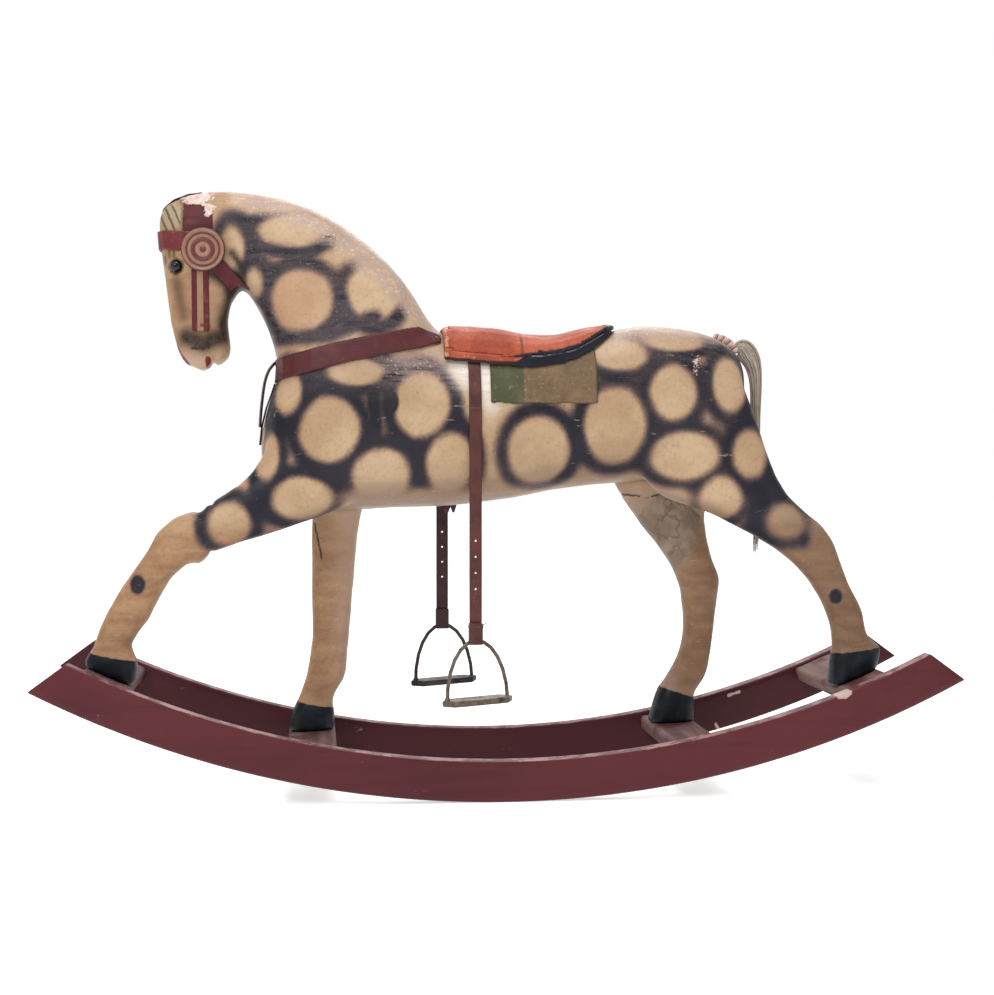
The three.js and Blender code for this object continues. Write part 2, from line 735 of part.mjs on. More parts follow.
addPiece("horse", makeHorse(), dappledPaint);
for (const [name, leg] of Object.entries(LEGS)) {
  addPiece(`slat_${name}`, makeSlat(leg), slatPaint);
}
addPiece("saddle_cloth", makeSaddleCloth(), felt);
addPiece("saddle_pad", makeSaddlePad(), padLeather);
addPiece("saddle_seat", makeSaddleSeat(), seatLeather);
addPiece("breast_strap", makeBreastStrap(), strapLeather);
addPiece("chest_thong", makeChestThong(), wornLeather);
addPiece("chest_tab", makeChestTab(), wornLeather);
addPiece("brow_band", makeBrowBand(), strapLeather);
addPiece("tail_binding", makeBinding(BINDING_RADIUS, 0).subtract(trunkGrown(GAP)), cord);
addPiece("tail_hair", makeTail(), hair);
for (const [hand, place] of Object.entries(STIRRUPS)) {
  const stirrup = makeStirrup(place);
  addPiece(`rocker_${hand}`, makeRocker(place.side), rockerPaint);
  addPiece(`rosette_${hand}`, makeRosette(place.side), rosettePaint);
  addPiece(`throat_lash_${hand}`, makeThroatLash(place.side), strapLeather);
  addPiece(`cheek_strap_${hand}`, makeCheekStrap(place.side), strapLeather);
  addPiece(`eye_${hand}`, makeEye(place.side, 0), glass);
  addPiece(`stirrup_strap_${hand}`, stirrup.strap, strapLeather);
  addPiece(`stirrup_loop_${hand}`, stirrup.loop, strapLeather);
  addPiece(`stirrup_iron_${hand}`, stirrup.iron, iron);
}

export default rockingHorse;
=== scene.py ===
# The worn rocking horse in the photograph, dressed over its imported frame. Metres, head towards -X.
import math
import random

import bmesh
import bpy
import numpy as np
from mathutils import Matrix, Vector
from mathutils.bvhtree import BVHTree


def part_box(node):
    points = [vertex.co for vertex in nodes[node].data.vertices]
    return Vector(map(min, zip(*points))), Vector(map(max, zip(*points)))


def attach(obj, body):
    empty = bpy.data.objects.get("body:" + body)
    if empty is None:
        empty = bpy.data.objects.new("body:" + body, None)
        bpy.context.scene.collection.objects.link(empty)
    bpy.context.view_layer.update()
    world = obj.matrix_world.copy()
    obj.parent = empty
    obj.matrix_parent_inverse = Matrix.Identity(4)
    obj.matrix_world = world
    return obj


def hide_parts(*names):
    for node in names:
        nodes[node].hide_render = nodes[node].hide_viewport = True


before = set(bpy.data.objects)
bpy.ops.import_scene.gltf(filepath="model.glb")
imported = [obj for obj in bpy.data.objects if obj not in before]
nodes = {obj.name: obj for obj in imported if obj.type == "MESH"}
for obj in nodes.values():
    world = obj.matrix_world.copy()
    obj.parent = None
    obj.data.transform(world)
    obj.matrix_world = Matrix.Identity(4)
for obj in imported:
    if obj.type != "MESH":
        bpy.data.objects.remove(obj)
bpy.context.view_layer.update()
MM = 0.001


# Camera, floor and light

def link(name, data):
    obj = bpy.data.objects.new(name, data)
    bpy.context.scene.collection.objects.link(obj)
    return obj


camera = link("camera", bpy.data.cameras.new("camera"))
camera.data.sensor_width = 36
camera.data.lens = 62.8
camera.location = (-0.246, -2.337, 0.441)
camera.rotation_euler = (math.pi / 2 - 0.0239, 0, -0.1048)
bpy.context.scene.camera = camera


def area_light(name, place, target, size, power):
    lamp = link(name, bpy.data.lights.new(name, "AREA"))
    lamp.data.shape = "DISK"
    lamp.data.size = size
    lamp.data.energy = power
    lamp.location = place
    lamp.rotation_euler = (Vector(target) - Vector(place)).to_track_quat("-Z", "Y").to_euler()


area_light("key_light", (-1.6, -2.6, 2.6), (0, 0, 0.4), 1.4, 54)
area_light("top_light", (-0.1, -0.5, 3.0), (0, 0, 0.5), 1.4, 42)
area_light("fill_light", (2.4, -2.0, 1.4), (0.1, 0, 0.4), 2.2, 8)
area_light("back_light", (0.3, 2.4, 2.6), (0, 0, 0.5), 2.0, 36)


def make_world():
    """A pale room, brightest towards the wall behind the horse."""
    world = bpy.data.worlds.new("studio")
    bpy.context.scene.world = world
    world.use_nodes = True
    tree = world.node_tree
    direction = tree.nodes.new("ShaderNodeTexCoord")
    parts = tree.nodes.new("ShaderNodeSeparateXYZ")
    glow = tree.nodes.new("ShaderNodeMapRange")
    glow.interpolation_type = "SMOOTHSTEP"
    for name, value in (("From Min", 0.3), ("From Max", 0.85), ("To Min", 0.44), ("To Max", 1.0)):
        glow.inputs[name].default_value = value
    tree.links.new(direction.outputs["Generated"], parts.inputs[0])
    tree.links.new(parts.outputs["Y"], glow.inputs["Value"])
    tree.nodes["Background"].inputs["Color"].default_value = (1, 1, 1, 1)
    tree.links.new(glow.outputs["Result"], tree.nodes["Background"].inputs["Strength"])


make_world()
bpy.context.scene.view_settings.view_transform = "Standard"


# Materials

SHADE = 0.78


def rgb(red, green, blue):
    """A display colour from 0 to 255 as linear values, a little deeper because the room is bright."""
    shares = (red / 255, green / 255, blue / 255)
    return (*(SHADE * (c / 12.92 if c <= 0.04045 else ((c + 0.055) / 1.055) ** 2.4) for c in shares), 1.0)


class Paint:
    """A node material, built from short calls. Its values are sockets or plain numbers and colours."""

    def __init__(self, name, roughness=0.5, metallic=0.0, **sockets):
        self.material = bpy.data.materials.new(name)
        self.material.use_nodes = True
        self.tree = self.material.node_tree
        self.shader = self.tree.nodes["Principled BSDF"]
        self.shader.inputs["Roughness"].default_value = roughness
        self.shader.inputs["Metallic"].default_value = metallic
        for key, value in sockets.items():
            self.shader.inputs[key.replace("_", " ")].default_value = value
        self.place = self.add("TexCoord").outputs["Object"]

    def add(self, kind, **settings):
        node = self.tree.nodes.new("ShaderNode" + kind)
        for key, value in settings.items():
            setattr(node, key, value)
        return node

    def feed(self, socket, value):
        if isinstance(value, bpy.types.NodeSocket):
            self.tree.links.new(value, socket)
        else:
            socket.default_value = value

    def noise(self, scale, detail=3.0, rough=0.55, stretch=None):
        place = self.place
        if stretch:
            mapping = self.add("Mapping")
            self.feed(mapping.inputs["Vector"], place)
            mapping.inputs["Scale"].default_value = stretch
            place = mapping.outputs["Vector"]
        node = self.add("TexNoise")
        self.feed(node.inputs["Vector"], place)
        node.inputs["Scale"].default_value = scale
        node.inputs["Detail"].default_value = detail
        node.inputs["Roughness"].default_value = rough
        return node.outputs["Fac"]

    def cells(self, scale, feature="DISTANCE_TO_EDGE"):
        node = self.add("TexVoronoi", feature=feature)
        self.feed(node.inputs["Vector"], self.place)
        node.inputs["Scale"].default_value = scale
        return node.outputs["Distance"]

    def math(self, operation, a, b=0.0, clamp=False):
        node = self.add("Math", operation=operation, use_clamp=clamp)
        self.feed(node.inputs[0], a)
        self.feed(node.inputs[1], b)
        return node.outputs[0]

    def spread(self, value, low, high, to_low=0.0, to_high=1.0):
        """A smooth step of the value from low to high."""
        node = self.add("MapRange", interpolation_type="SMOOTHSTEP")
        for key, given in zip(("Value", "From Min", "From Max", "To Min", "To Max"), (value, low, high, to_low, to_high)):
            self.feed(node.inputs[key], given)
        return node.outputs["Result"]

    def mix(self, share, a, b):
        node = self.add("Mix", data_type="RGBA")
        self.feed(node.inputs[0], share)
        self.feed(node.inputs[6], a)
        self.feed(node.inputs[7], b)
        return node.outputs[2]

    def field(self, name):
        return self.add("Attribute", attribute_type="GEOMETRY", attribute_name=name).outputs["Fac"]

    def finish(self, colour, roughness=None, bump=None, depth=0.0005, strength=0.6):
        self.feed(self.shader.inputs["Base Color"], colour)
        if roughness is not None:
            self.feed(self.shader.inputs["Roughness"], roughness)
        if bump is not None:
            node = self.add("Bump")
            self.feed(node.inputs["Height"], bump)
            node.inputs["Distance"].default_value = depth
            node.inputs["Strength"].default_value = strength
            self.feed(self.shader.inputs["Normal"], node.outputs["Normal"])
        return self.material


def horse_paint():
    p = Paint("horse_paint", Specular_IOR_Level=0.25)
    cloud = p.noise(9, 4)
    mottle = p.noise(190, 5, 0.7)
    grain = p.noise(60, 4, 0.6, (0.25, 1, 1))
    brush = p.noise(150, 3, 0.6, (0.12, 1, 1))
    ragged = p.math("MULTIPLY", p.math("SUBTRACT", p.noise(130, 3), 0.5), 9.0)

    # Dapples, legs, belly and face
    cream = p.mix(p.spread(cloud, 0.35, 0.65), rgb(186, 153, 118), rgb(208, 179, 144))
    cream = p.mix(p.spread(mottle, 0.46, 0.7, 0, 0.32), cream, rgb(148, 112, 80))
    legs = p.mix(p.spread(grain, 0.3, 0.7), rgb(188, 148, 110), rgb(158, 118, 86))
    legs = p.mix(p.spread(mottle, 0.48, 0.7, 0, 0.35), legs, rgb(122, 88, 64))
    colour = p.mix(p.field("leg"), cream, legs)
    colour = p.mix(p.math("MULTIPLY", p.field("blush"), 0.8), colour, rgb(196, 166, 144))
    colour = p.mix(p.math("MULTIPLY", p.field("tint"), 0.3), colour, rgb(188, 116, 74))
    # Painted shade: darker on faces turned downward, on the rear of the hindquarters and on the far hind leg.
    colour = p.mix(p.math("MULTIPLY", p.field("shade"), p.spread(mottle, 0.3, 0.7, 0.72, 0.5)), colour, rgb(80, 62, 54))

    # The airbrushed network: brown at its edges, blue-black within
    drift = p.math("MULTIPLY", p.math("SUBTRACT", p.noise(22, 3), 0.5), 0.36)
    speckle = p.math("MULTIPLY", p.math("SUBTRACT", mottle, 0.5), 0.28)
    net = p.math("ADD", p.field("net"), p.math("MULTIPLY", p.math("ADD", drift, speckle), p.spread(p.field("net"), 0, 0.3)))
    net = p.math("MULTIPLY", net, p.spread(p.noise(7, 2), 0.4, 0.56, 0.87, 1.02))
    colour = p.mix(p.spread(net, 0.0, 0.42, 0, 0.6), colour, rgb(150, 112, 86))
    colour = p.mix(p.spread(net, 0.14, 0.62, 0, 0.88), colour, rgb(94, 76, 76))
    dark = p.mix(p.spread(cloud, 0.4, 0.66), rgb(14, 18, 32), rgb(38, 34, 46))
    colour = p.mix(p.spread(net, 0.38, 0.82, 0, 0.96), colour, dark)

    # Wear and painted highlight: the top rubbed pale and painted paler towards the top where light falls, a bare place
    # by the stirrup strap, pale specks and scratches
    rubbed_and_lit_top = p.math("MULTIPLY", p.field("wear_and_highlight"), p.spread(brush, 0.32, 0.6))
    colour = p.mix(p.math("MULTIPLY", rubbed_and_lit_top, 0.8), colour, rgb(178, 154, 146))
    speck = p.math("MULTIPLY", p.field("wear_and_highlight"), p.spread(p.noise(300, 4, 0.7), 0.57, 0.66))
    colour = p.mix(p.math("MULTIPLY", speck, 0.8), colour, rgb(226, 214, 202))
    colour = p.mix(p.math("MULTIPLY", p.field("bare"), p.spread(brush, 0.3, 0.55, 0.5, 1)), colour, rgb(242, 232, 222))
    scratch = p.spread(p.noise(95, 5, 0.7, (0.3, 1, 1.3)), 0.64, 0.7, 0, 0.35)
    colour = p.mix(scratch, colour, rgb(204, 184, 162))
    colour = p.mix(p.spread(p.noise(210, 4, 0.65), 0.66, 0.72, 0, 0.6), colour, rgb(80, 58, 46))

    # Filler on the far legs, and the shading of the head
    patch = p.mix(p.spread(p.noise(34, 5), 0.4, 0.62), rgb(132, 114, 98), rgb(160, 142, 124))
    creased = p.math("ABSOLUTE", p.math("SUBTRACT", p.noise(26, 2.5), 0.5))
    seam = p.spread(creased, 0.0, 0.03, 1, 0)
    patch = p.mix(p.math("MULTIPLY", seam, 0.6), patch, rgb(84, 68, 56))
    patch_share = p.spread(p.math("ADD", p.field("patch"), p.math("MULTIPLY", p.math("SUBTRACT", p.noise(40, 4), 0.5), 0.9)), 0.42, 0.5)
    colour = p.mix(p.math("MULTIPLY", patch_share, 0.85), colour, patch)
    colour = p.mix(p.math("MULTIPLY", p.field("head_darkening"), p.spread(mottle, 0.3, 0.7, 1, 0.85)), colour, rgb(36, 29, 28))
    colour = p.mix(p.math("MULTIPLY", p.field("lock"), 0.8), colour, rgb(172, 156, 126))
    parts = p.add("SeparateXYZ")
    p.feed(parts.inputs[0], p.place)
    slant = p.math("ADD", parts.outputs["X"], p.math("MULTIPLY", parts.outputs["Z"], 0.45))
    slant = p.math("ADD", slant, p.math("MULTIPLY", p.noise(45, 3), 0.006))
    hairs = p.spread(p.math("SINE", p.math("MULTIPLY", slant, 2 * math.pi / 0.0105)), 0.25, 0.95)
    groove = p.math("MAXIMUM", p.field("groove"), p.math("MULTIPLY", hairs, p.field("lock")))
    colour = p.mix(p.math("MULTIPLY", groove, 0.8), colour, rgb(70, 52, 42))

    # Painted headpiece, lips, chips and hooves
    strap = p.mix(p.spread(cloud, 0.3, 0.7), rgb(98, 22, 28), rgb(74, 16, 24))
    strap_edge = p.math("ADD", p.field("strap"), p.math("MULTIPLY", ragged, p.field("ragged")))
    colour = p.mix(p.spread(strap_edge, -0.6, 0.6), colour, strap)
    colour = p.mix(p.spread(p.math("ADD", p.field("lip"), p.math("MULTIPLY", ragged, 0.15)), -0.5, 0.5), colour, rgb(126, 36, 34))
    chips = p.math("ADD", p.field("gesso"), p.math("MULTIPLY", p.math("SUBTRACT", p.noise(125, 6, 0.75), 0.5), 2.0))
    colour = p.mix(p.spread(chips, 0.6, 0.66), colour, p.mix(p.spread(mottle, 0.4, 0.6), rgb(232, 218, 208), rgb(214, 178, 164)))
    hoof_edge = p.math("ADD", p.field("hoof"), p.math("MULTIPLY", ragged, 0.35))
    hoof = p.mix(p.spread(p.noise(30, 4), 0.45, 0.72), rgb(6, 12, 22), rgb(34, 40, 52))
    colour = p.mix(p.spread(hoof_edge, -0.8, 0.8), colour, hoof)
    colour = p.mix(p.spread(p.field("crack"), 0.35, 0.8, 0, 0.85), colour, rgb(38, 27, 22))

    relief = p.math("ADD", p.math("MULTIPLY", brush, 0.5), p.math("MULTIPLY", p.spread(chips, 0.6, 0.66), -0.7))
    relief = p.math("ADD", relief, p.math("MULTIPLY", mottle, 0.6))
    relief = p.math("ADD", relief, p.math("MULTIPLY", p.math("MULTIPLY", seam, patch_share), -0.6))
    return p.finish(colour, p.spread(brush, 0.2, 0.8, 0.36, 0.6), relief, 0.0007, 0.55)


def rocker_paint():
    p = Paint("rocker_paint", Specular_IOR_Level=0.25)
    cloud = p.noise(7, 5, 0.6, (0.5, 1, 1))
    grain = p.noise(46, 5, 0.6, (0.06, 1, 1))
    colour = p.mix(p.spread(cloud, 0.35, 0.68), rgb(84, 26, 33), rgb(98, 40, 44))
    colour = p.mix(p.spread(grain, 0.5, 0.72, 0, 0.5), colour, rgb(70, 24, 30))
    colour = p.mix(p.math("MULTIPLY", p.field("inner"), 0.8), colour, rgb(64, 18, 26))
    scratch = p.spread(p.noise(70, 5, 0.75, (0.35, 1, 1)), 0.67, 0.7, 0, 0.8)
    colour = p.mix(scratch, colour, rgb(160, 118, 112))
    rim = p.math("ADD", p.field("rim"), p.math("MULTIPLY", p.math("SUBTRACT", p.noise(38, 5, 0.7), 0.5), 1.5))
    colour = p.mix(p.spread(rim, 0.82, 0.96), colour, rgb(158, 112, 112))
    colour = p.mix(p.spread(p.field("chip"), 0.45, 0.6), colour, rgb(206, 176, 164))
    return p.finish(colour, p.spread(cloud, 0.3, 0.7, 0.36, 0.6), grain, 0.0004, 0.5)


def slat_paint():
    p = Paint("slat_paint", Specular_IOR_Level=0.2)
    grain = p.noise(50, 5, 0.6, (1, 0.06, 1))
    colour = p.mix(p.spread(grain, 0.35, 0.65), rgb(138, 108, 102), rgb(96, 68, 68))
    colour = p.mix(p.spread(p.noise(20, 5), 0.52, 0.66, 0, 0.85), colour, rgb(92, 40, 44))
    return p.finish(colour, 0.7, grain, 0.0005, 0.6)


def leather(name, main, dark, pale, scale=1.0, edge=None, roughness=(0.42, 0.62)):
    p = Paint(name, Specular_IOR_Level=0.35)
    cloud = p.noise(26 * scale, 4)
    colour = p.mix(p.spread(cloud, 0.35, 0.7), main, dark)
    colour = p.mix(p.spread(p.noise(95 * scale, 5, 0.7), 0.6, 0.68, 0, 0.5), colour, pale)
    if edge:
        colour = p.mix(p.spread(p.field("across"), *edge[:2], 0, edge[2]), colour, edge[3])
    creases = p.cells(330 * scale)
    relief = p.math("ADD", p.spread(creases, 0, 0.35), p.noise(60 * scale, 3))
    return p.finish(colour, p.spread(cloud, 0.3, 0.7, *roughness), relief, 0.0003, 0.5)


def cheek_leather():
    p = Paint("cheek_leather", Specular_IOR_Level=0.3)
    across = p.field("across")
    colour = p.mix(p.spread(across, 0.3, 0.4), rgb(166, 130, 102), rgb(92, 26, 30))
    colour = p.mix(p.spread(p.noise(60, 4), 0.5, 0.7, 0, 0.4), colour, rgb(150, 100, 82))
    return p.finish(colour, 0.5, p.noise(200, 3), 0.0002)


def saddle_orange(p, cloud, cracks):
    """Worn orange leather: seat and the front of its skirt."""
    colour = p.mix(p.spread(cloud, 0.35, 0.7), rgb(192, 94, 62), rgb(158, 68, 46))
    colour = p.mix(p.spread(cracks, 0.0, 0.03, 0.5, 0), colour, rgb(104, 38, 28))
    frayed = p.math("ADD", p.field("hem"), p.math("MULTIPLY", p.math("SUBTRACT", p.noise(170, 5, 0.7), 0.5), 1.6))
    colour = p.mix(p.spread(frayed, 0.62, 0.72, 0, 0.9), colour, rgb(196, 146, 104))
    under = p.math("ADD", p.field("under"), p.math("MULTIPLY", p.math("SUBTRACT", p.noise(120, 4), 0.5), 0.8))
    return p.mix(p.spread(under, 0.45, 0.7), colour, rgb(52, 26, 22))


def seat_leather():
    p = Paint("seat_leather", Specular_IOR_Level=0.3)
    cloud = p.noise(18, 5)
    cracks = p.cells(120)
    colour = p.mix(p.field("seam"), saddle_orange(p, cloud, cracks), rgb(84, 34, 26))
    colour = p.mix(p.field("navy"), colour, p.mix(p.spread(cloud, 0.35, 0.7), rgb(10, 13, 26), rgb(22, 26, 42)))
    relief = p.math("ADD", p.spread(cracks, 0, 0.12), p.math("MULTIPLY", p.noise(55, 4), 0.8))
    return p.finish(colour, p.spread(cloud, 0.3, 0.7, 0.5, 0.72), relief, 0.0006, 0.6)


def pad_leather():
    p = Paint("pad_leather", Specular_IOR_Level=0.3)
    cloud = p.noise(24, 4)
    navy = p.mix(p.spread(cloud, 0.35, 0.7), rgb(10, 13, 26), rgb(22, 26, 42))
    # Painted highlight: a pale line along the pad's upper edge.
    lit = p.math("ADD", p.field("edge_highlight"), p.math("MULTIPLY", p.math("SUBTRACT", p.noise(90, 4), 0.5), 0.6))
    navy = p.mix(p.spread(lit, 0.55, 0.75, 0, 0.9), navy, rgb(104, 98, 102))
    orange = saddle_orange(p, p.noise(18, 5), p.cells(120))
    front = p.math("ADD", p.field("front"), p.math("MULTIPLY", p.math("SUBTRACT", p.noise(110, 4), 0.5), 0.5))
    colour = p.mix(p.spread(front, 0.42, 0.58), navy, orange)
    return p.finish(colour, 0.46, p.noise(160, 3), 0.0003)


def felt_cloth():
    p = Paint("felt_cloth", 0.95)
    weave = p.math("ADD", p.noise(900, 2, 0.5, (1, 1, 0.15)), p.noise(900, 2, 0.5, (0.15, 1, 1)))
    cloud = p.noise(20, 4)
    green = p.mix(p.spread(cloud, 0.4, 0.65), rgb(76, 80, 54), rgb(100, 96, 70))
    brown = p.mix(p.spread(cloud, 0.35, 0.65), rgb(112, 90, 66), rgb(134, 108, 80))
    colour = p.mix(p.field("brown"), green, brown)
    colour = p.mix(p.math("MULTIPLY", p.field("motif"), 0.3), colour, rgb(148, 120, 90))
    colour = p.mix(p.spread(p.noise(70, 5, 0.7), 0.5, 0.7, 0, 0.6), colour, rgb(86, 72, 54))
    colour = p.mix(p.spread(p.noise(160, 4, 0.7), 0.6, 0.68, 0, 0.5), colour, rgb(168, 148, 118))
    colour = p.mix(p.spread(p.field("hem"), 0.4, 0.9, 0, 0.5), colour, rgb(74, 62, 44))
    return p.finish(colour, 0.95, weave, 0.0006, 0.8)


def rosette_leather():
    p = Paint("rosette_leather")
    ring = p.add("ValToRGB")
    p.feed(ring.inputs["Fac"], p.field("radius"))
    ring.color_ramp.interpolation = "LINEAR"
    tan, red, rim = rgb(164, 122, 98), rgb(104, 32, 34), rgb(92, 52, 42)
    stops = [(0.0, red), (0.12, red), (0.17, tan), (0.33, tan), (0.38, red), (0.53, red), (0.58, tan), (0.68, tan),
             (0.72, red), (0.77, red), (0.81, tan), (0.92, tan), (0.96, rim), (1.0, rim)]
    while len(ring.color_ramp.elements) < len(stops):
        ring.color_ramp.elements.new(0.5)
    for element, (position, colour) in zip(ring.color_ramp.elements, stops):
        element.position = position
        element.color = colour
    colour = p.mix(p.spread(p.noise(70, 5), 0.5, 0.72, 0, 0.45), ring.outputs["Color"], rgb(120, 74, 58))
    return p.finish(colour, 0.5, p.noise(240, 3), 0.0003)


def eye_glass():
    p = Paint("eye_glass", 0.22, Specular_IOR_Level=0.3)
    centre = p.field("radius")
    colour = p.mix(p.spread(centre, 0.3, 0.5), rgb(10, 10, 12), rgb(44, 54, 62))
    colour = p.mix(p.spread(centre, 0.6, 0.78), colour, rgb(10, 10, 12))
    return p.finish(colour)


def iron_metal(name, bright, rusty):
    p = Paint(name, 0.5, 0.6)
    rust = p.noise(60, 5, 0.65)
    colour = p.mix(p.spread(rust, 0.4, 0.68), bright, rusty)
    return p.finish(colour, p.spread(rust, 0.35, 0.7, 0.4, 0.7), rust, 0.0004)


def brass_tack():
    p = Paint("tack_metal", 0.4, 0.8)
    return p.finish(p.mix(p.spread(p.noise(300, 3), 0.4, 0.6), rgb(92, 52, 44), rgb(140, 96, 74)))


def tail_hair():
    p = Paint("tail_hair", 0.6)
    strand = p.field("strand")
    colour = p.mix(strand, rgb(158, 140, 124), rgb(212, 198, 182))
    return p.finish(p.mix(p.spread(p.noise(40, 3), 0.45, 0.7, 0, 0.5), colour, rgb(120, 96, 82)), 0.6)


def binding_tape():
    p = Paint("binding_tape", 0.9)
    turn = p.field("turn")
    colour = p.mix(p.spread(turn, 0.45, 0.55), rgb(216, 198, 188), rgb(190, 140, 130))
    colour = p.mix(p.spread(turn, 0.8, 0.86), colour, rgb(128, 56, 52))
    return p.finish(colour, 0.9, p.noise(500, 2), 0.0003)


def pale_floor():
    p = Paint("floor", 0.9, Emission_Color=(1, 1, 1, 1), Specular_IOR_Level=0.1)
    away = p.add("VectorMath", operation="LENGTH")
    p.feed(away.inputs[0], p.place)
    p.feed(p.shader.inputs["Emission Strength"], p.spread(away.outputs["Value"], 3, 9, 0.58, 0.82))
    return p.finish(p.mix(p.noise(1.2, 2), rgb(247, 247, 247), rgb(252, 252, 252)))

def smooth(value, low, high):
    t = np.clip((value - low) / (high - low), 0, 1)
    return t * t * (3 - 2 * t)


def points_of(mesh):
    points = np.empty(len(mesh.vertices) * 3)
    mesh.vertices.foreach_get("co", points)
    return points.reshape(-1, 3)


def normals_of(mesh):
    normals = np.empty(len(mesh.vertices) * 3, dtype=np.float32)
    mesh.vertices.foreach_get("normal", normals)
    return normals.reshape(-1, 3).astype(float)


def move_points(mesh, points):
    mesh.vertices.foreach_set("co", points.ravel())
    mesh.update()


def keep_field(mesh, name, values):
    layer = mesh.attributes.new(name, "FLOAT", "POINT")
    layer.data.foreach_set("value", np.asarray(values, dtype=np.float32))


def shade_smooth(mesh):
    mesh.polygons.foreach_set("use_smooth", np.ones(len(mesh.polygons), dtype=bool))
    mesh.update()


def segment_distance(px, pz, line):
    """Distance in the side view from points to a line of [x, z] points."""
    best = np.full(len(px), 1e9)
    for (ax, az), (bx, bz) in zip(line, line[1:]):
        dx, dz = bx - ax, bz - az
        t = np.clip(((px - ax) * dx + (pz - az) * dz) / (dx * dx + dz * dz), 0, 1)
        best = np.minimum(best, np.hypot(px - ax - t * dx, pz - az - t * dz))
    return best


def remeshed(node, name, voxel):
    """A fine, even mesh of a node's solid, as a new object."""
    source = nodes[node]
    mesh = source.data.copy()
    mesh.transform(source.matrix_world)
    mesh.materials.clear()
    rough = link(name + "_rough", mesh)
    modifier = rough.modifiers.new("voxels", "REMESH")
    modifier.mode = "VOXEL"
    modifier.voxel_size = voxel
    graph = bpy.context.evaluated_depsgraph_get()
    fine = bpy.data.meshes.new_from_object(rough.evaluated_get(graph))
    bpy.data.objects.remove(rough)
    fine.name = name
    return link(name, fine)


def relax(mesh, rounds, hold=None, back=0.5):
    """Rounds off facets, with little loss of volume. hold is each point's share of the movement."""
    points = points_of(mesh)
    edges = np.empty(len(mesh.edges) * 2, dtype=np.int64)
    mesh.edges.foreach_get("vertices", edges)
    a, b = edges.reshape(-1, 2).T
    count = len(points)
    degree = np.maximum(np.bincount(a, minlength=count) + np.bincount(b, minlength=count), 1)[:, None]
    share = 1.0 if hold is None else hold[:, None]
    for _ in range(rounds):
        for step in (0.6, -back):
            total = np.stack([np.bincount(a, points[b, k], count) + np.bincount(b, points[a, k], count) for k in range(3)], 1)
            points += step * share * (total / degree - points)
    move_points(mesh, points)


def grid_mesh(name, rows, closed_across=False, caps=False):
    """A mesh through rows of equally many points."""
    count = len(rows[0])
    mesh = bpy.data.meshes.new(name)
    faces = []
    for r in range(len(rows) - 1):
        for i in range(count if closed_across else count - 1):
            j = (i + 1) % count
            faces.append((r * count + i, r * count + j, (r + 1) * count + j, (r + 1) * count + i))
    if caps:
        faces.append(tuple(reversed(range(count))))
        faces.append(tuple(range((len(rows) - 1) * count, len(rows) * count)))
    mesh.from_pydata([tuple(p) for row in rows for p in row], [], faces)
    fixed = bmesh.new()
    fixed.from_mesh(mesh)
    bmesh.ops.recalc_face_normals(fixed, faces=fixed.faces)
    fixed.to_mesh(mesh)
    fixed.free()
    return mesh


def tube_rows(path, radius, sides):
    """Rings round a path of points. radius takes the share of the way and gives a radius."""
    rows = []
    side = Vector((0, 1, 0))
    for i, centre in enumerate(path):
        ahead = (path[min(i + 1, len(path) - 1)] - path[max(i - 1, 0)]).normalized()
        side = (side - ahead * side.dot(ahead)).normalized()
        up = ahead.cross(side)
        r = radius(i / (len(path) - 1))
        rows.append([centre + (side * math.cos(a) + up * math.sin(a)) * r for a in (2 * math.pi * k / sides for k in range(sides))])
    return rows


def curve_points(corners, count):
    """A smooth curve through the corners, as so many points."""
    padded = [corners[0] * 2 - corners[1], *corners, corners[-1] * 2 - corners[-2]]
    result = []
    for i in range(count):
        t = i / (count - 1) * (len(corners) - 1)
        k = min(int(t), len(corners) - 2)
        t -= k
        a, b, c, d = padded[k:k + 4]
        result.append(0.5 * (2 * b + (c - a) * t + (2 * a - 5 * b + 4 * c - d) * t * t + (3 * b - a - 3 * c + d) * t ** 3))
    return result


def dress(obj, material, slot_name, *replaced):
    obj.data.materials.clear()
    obj.data.materials.append(material)
    shade_smooth(obj.data)
    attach(obj, "root")
    if replaced:
        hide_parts(*replaced)
    return obj


# Horse. The painted marks are fields on its points, in millimetres of the side view.

# Dapples: x, z, half width, half height
DAPPLES = [
    (-272, 735, 46, 20), (-263, 644, 40, 39), (-169, 654, 33, 35), (-351, 711, 15, 28), (-327, 665, 15, 21),
    (-227, 475, 38, 41), (-160, 418, 36, 32), (-263, 386, 38, 27), (-107, 507, 35, 42), (-192, 550, 35, 17),
    (-281, 523, 18, 28), (-308, 442, 15, 33), (-71, 433, 30, 39), (46, 448, 39, 43), (147, 480, 40, 48),
    (225, 525, 30, 35), (155, 577, 36, 22), (229, 594, 42, 14), (242, 441, 44, 31), (305, 537, 24, 36),
    (332, 442, 24, 32), (291, 386, 27, 28), (380, 355, 26, 24), (-356, 353, 26, 27),
]
# The same on the chest and rump, where the side view sees none: x, y, z, radius
ROUND_DAPPLES = [(-318, 0, 462, 30), (-296, 0, 384, 30), (-305, 0, 640, 26), (338, 0, 510, 30), (300, 0, 560, 24)]
# Broad strokes of the dark network between them: width, then x and z along each
DARK_STROKES = [(12, [(-292, 594), (-227, 598), (-168, 620)]), (11, [(-341, 753), (-318, 714), (-259, 699), (-227, 721)]),
                (14, [(-170, 520), (-166, 462)])]
KNEE_SPOTS = [(-472, 276, 11, 14), (448, 253, 11, 13)]
# Where each hoof meets its leg: x and z of the front end, x and z of the back end, side
HOOF_LINES = [(-533, 188, -475, 177, -1), (-269, 105, -221, 96, 1), (236, 118, 283, 103, 1), (448, 176, 512, 184, -1)]
EYE = (-425, 688)
HEADPIECE = [(-415, 772), (-378, 768), (-376, 735), (-416, 733)]


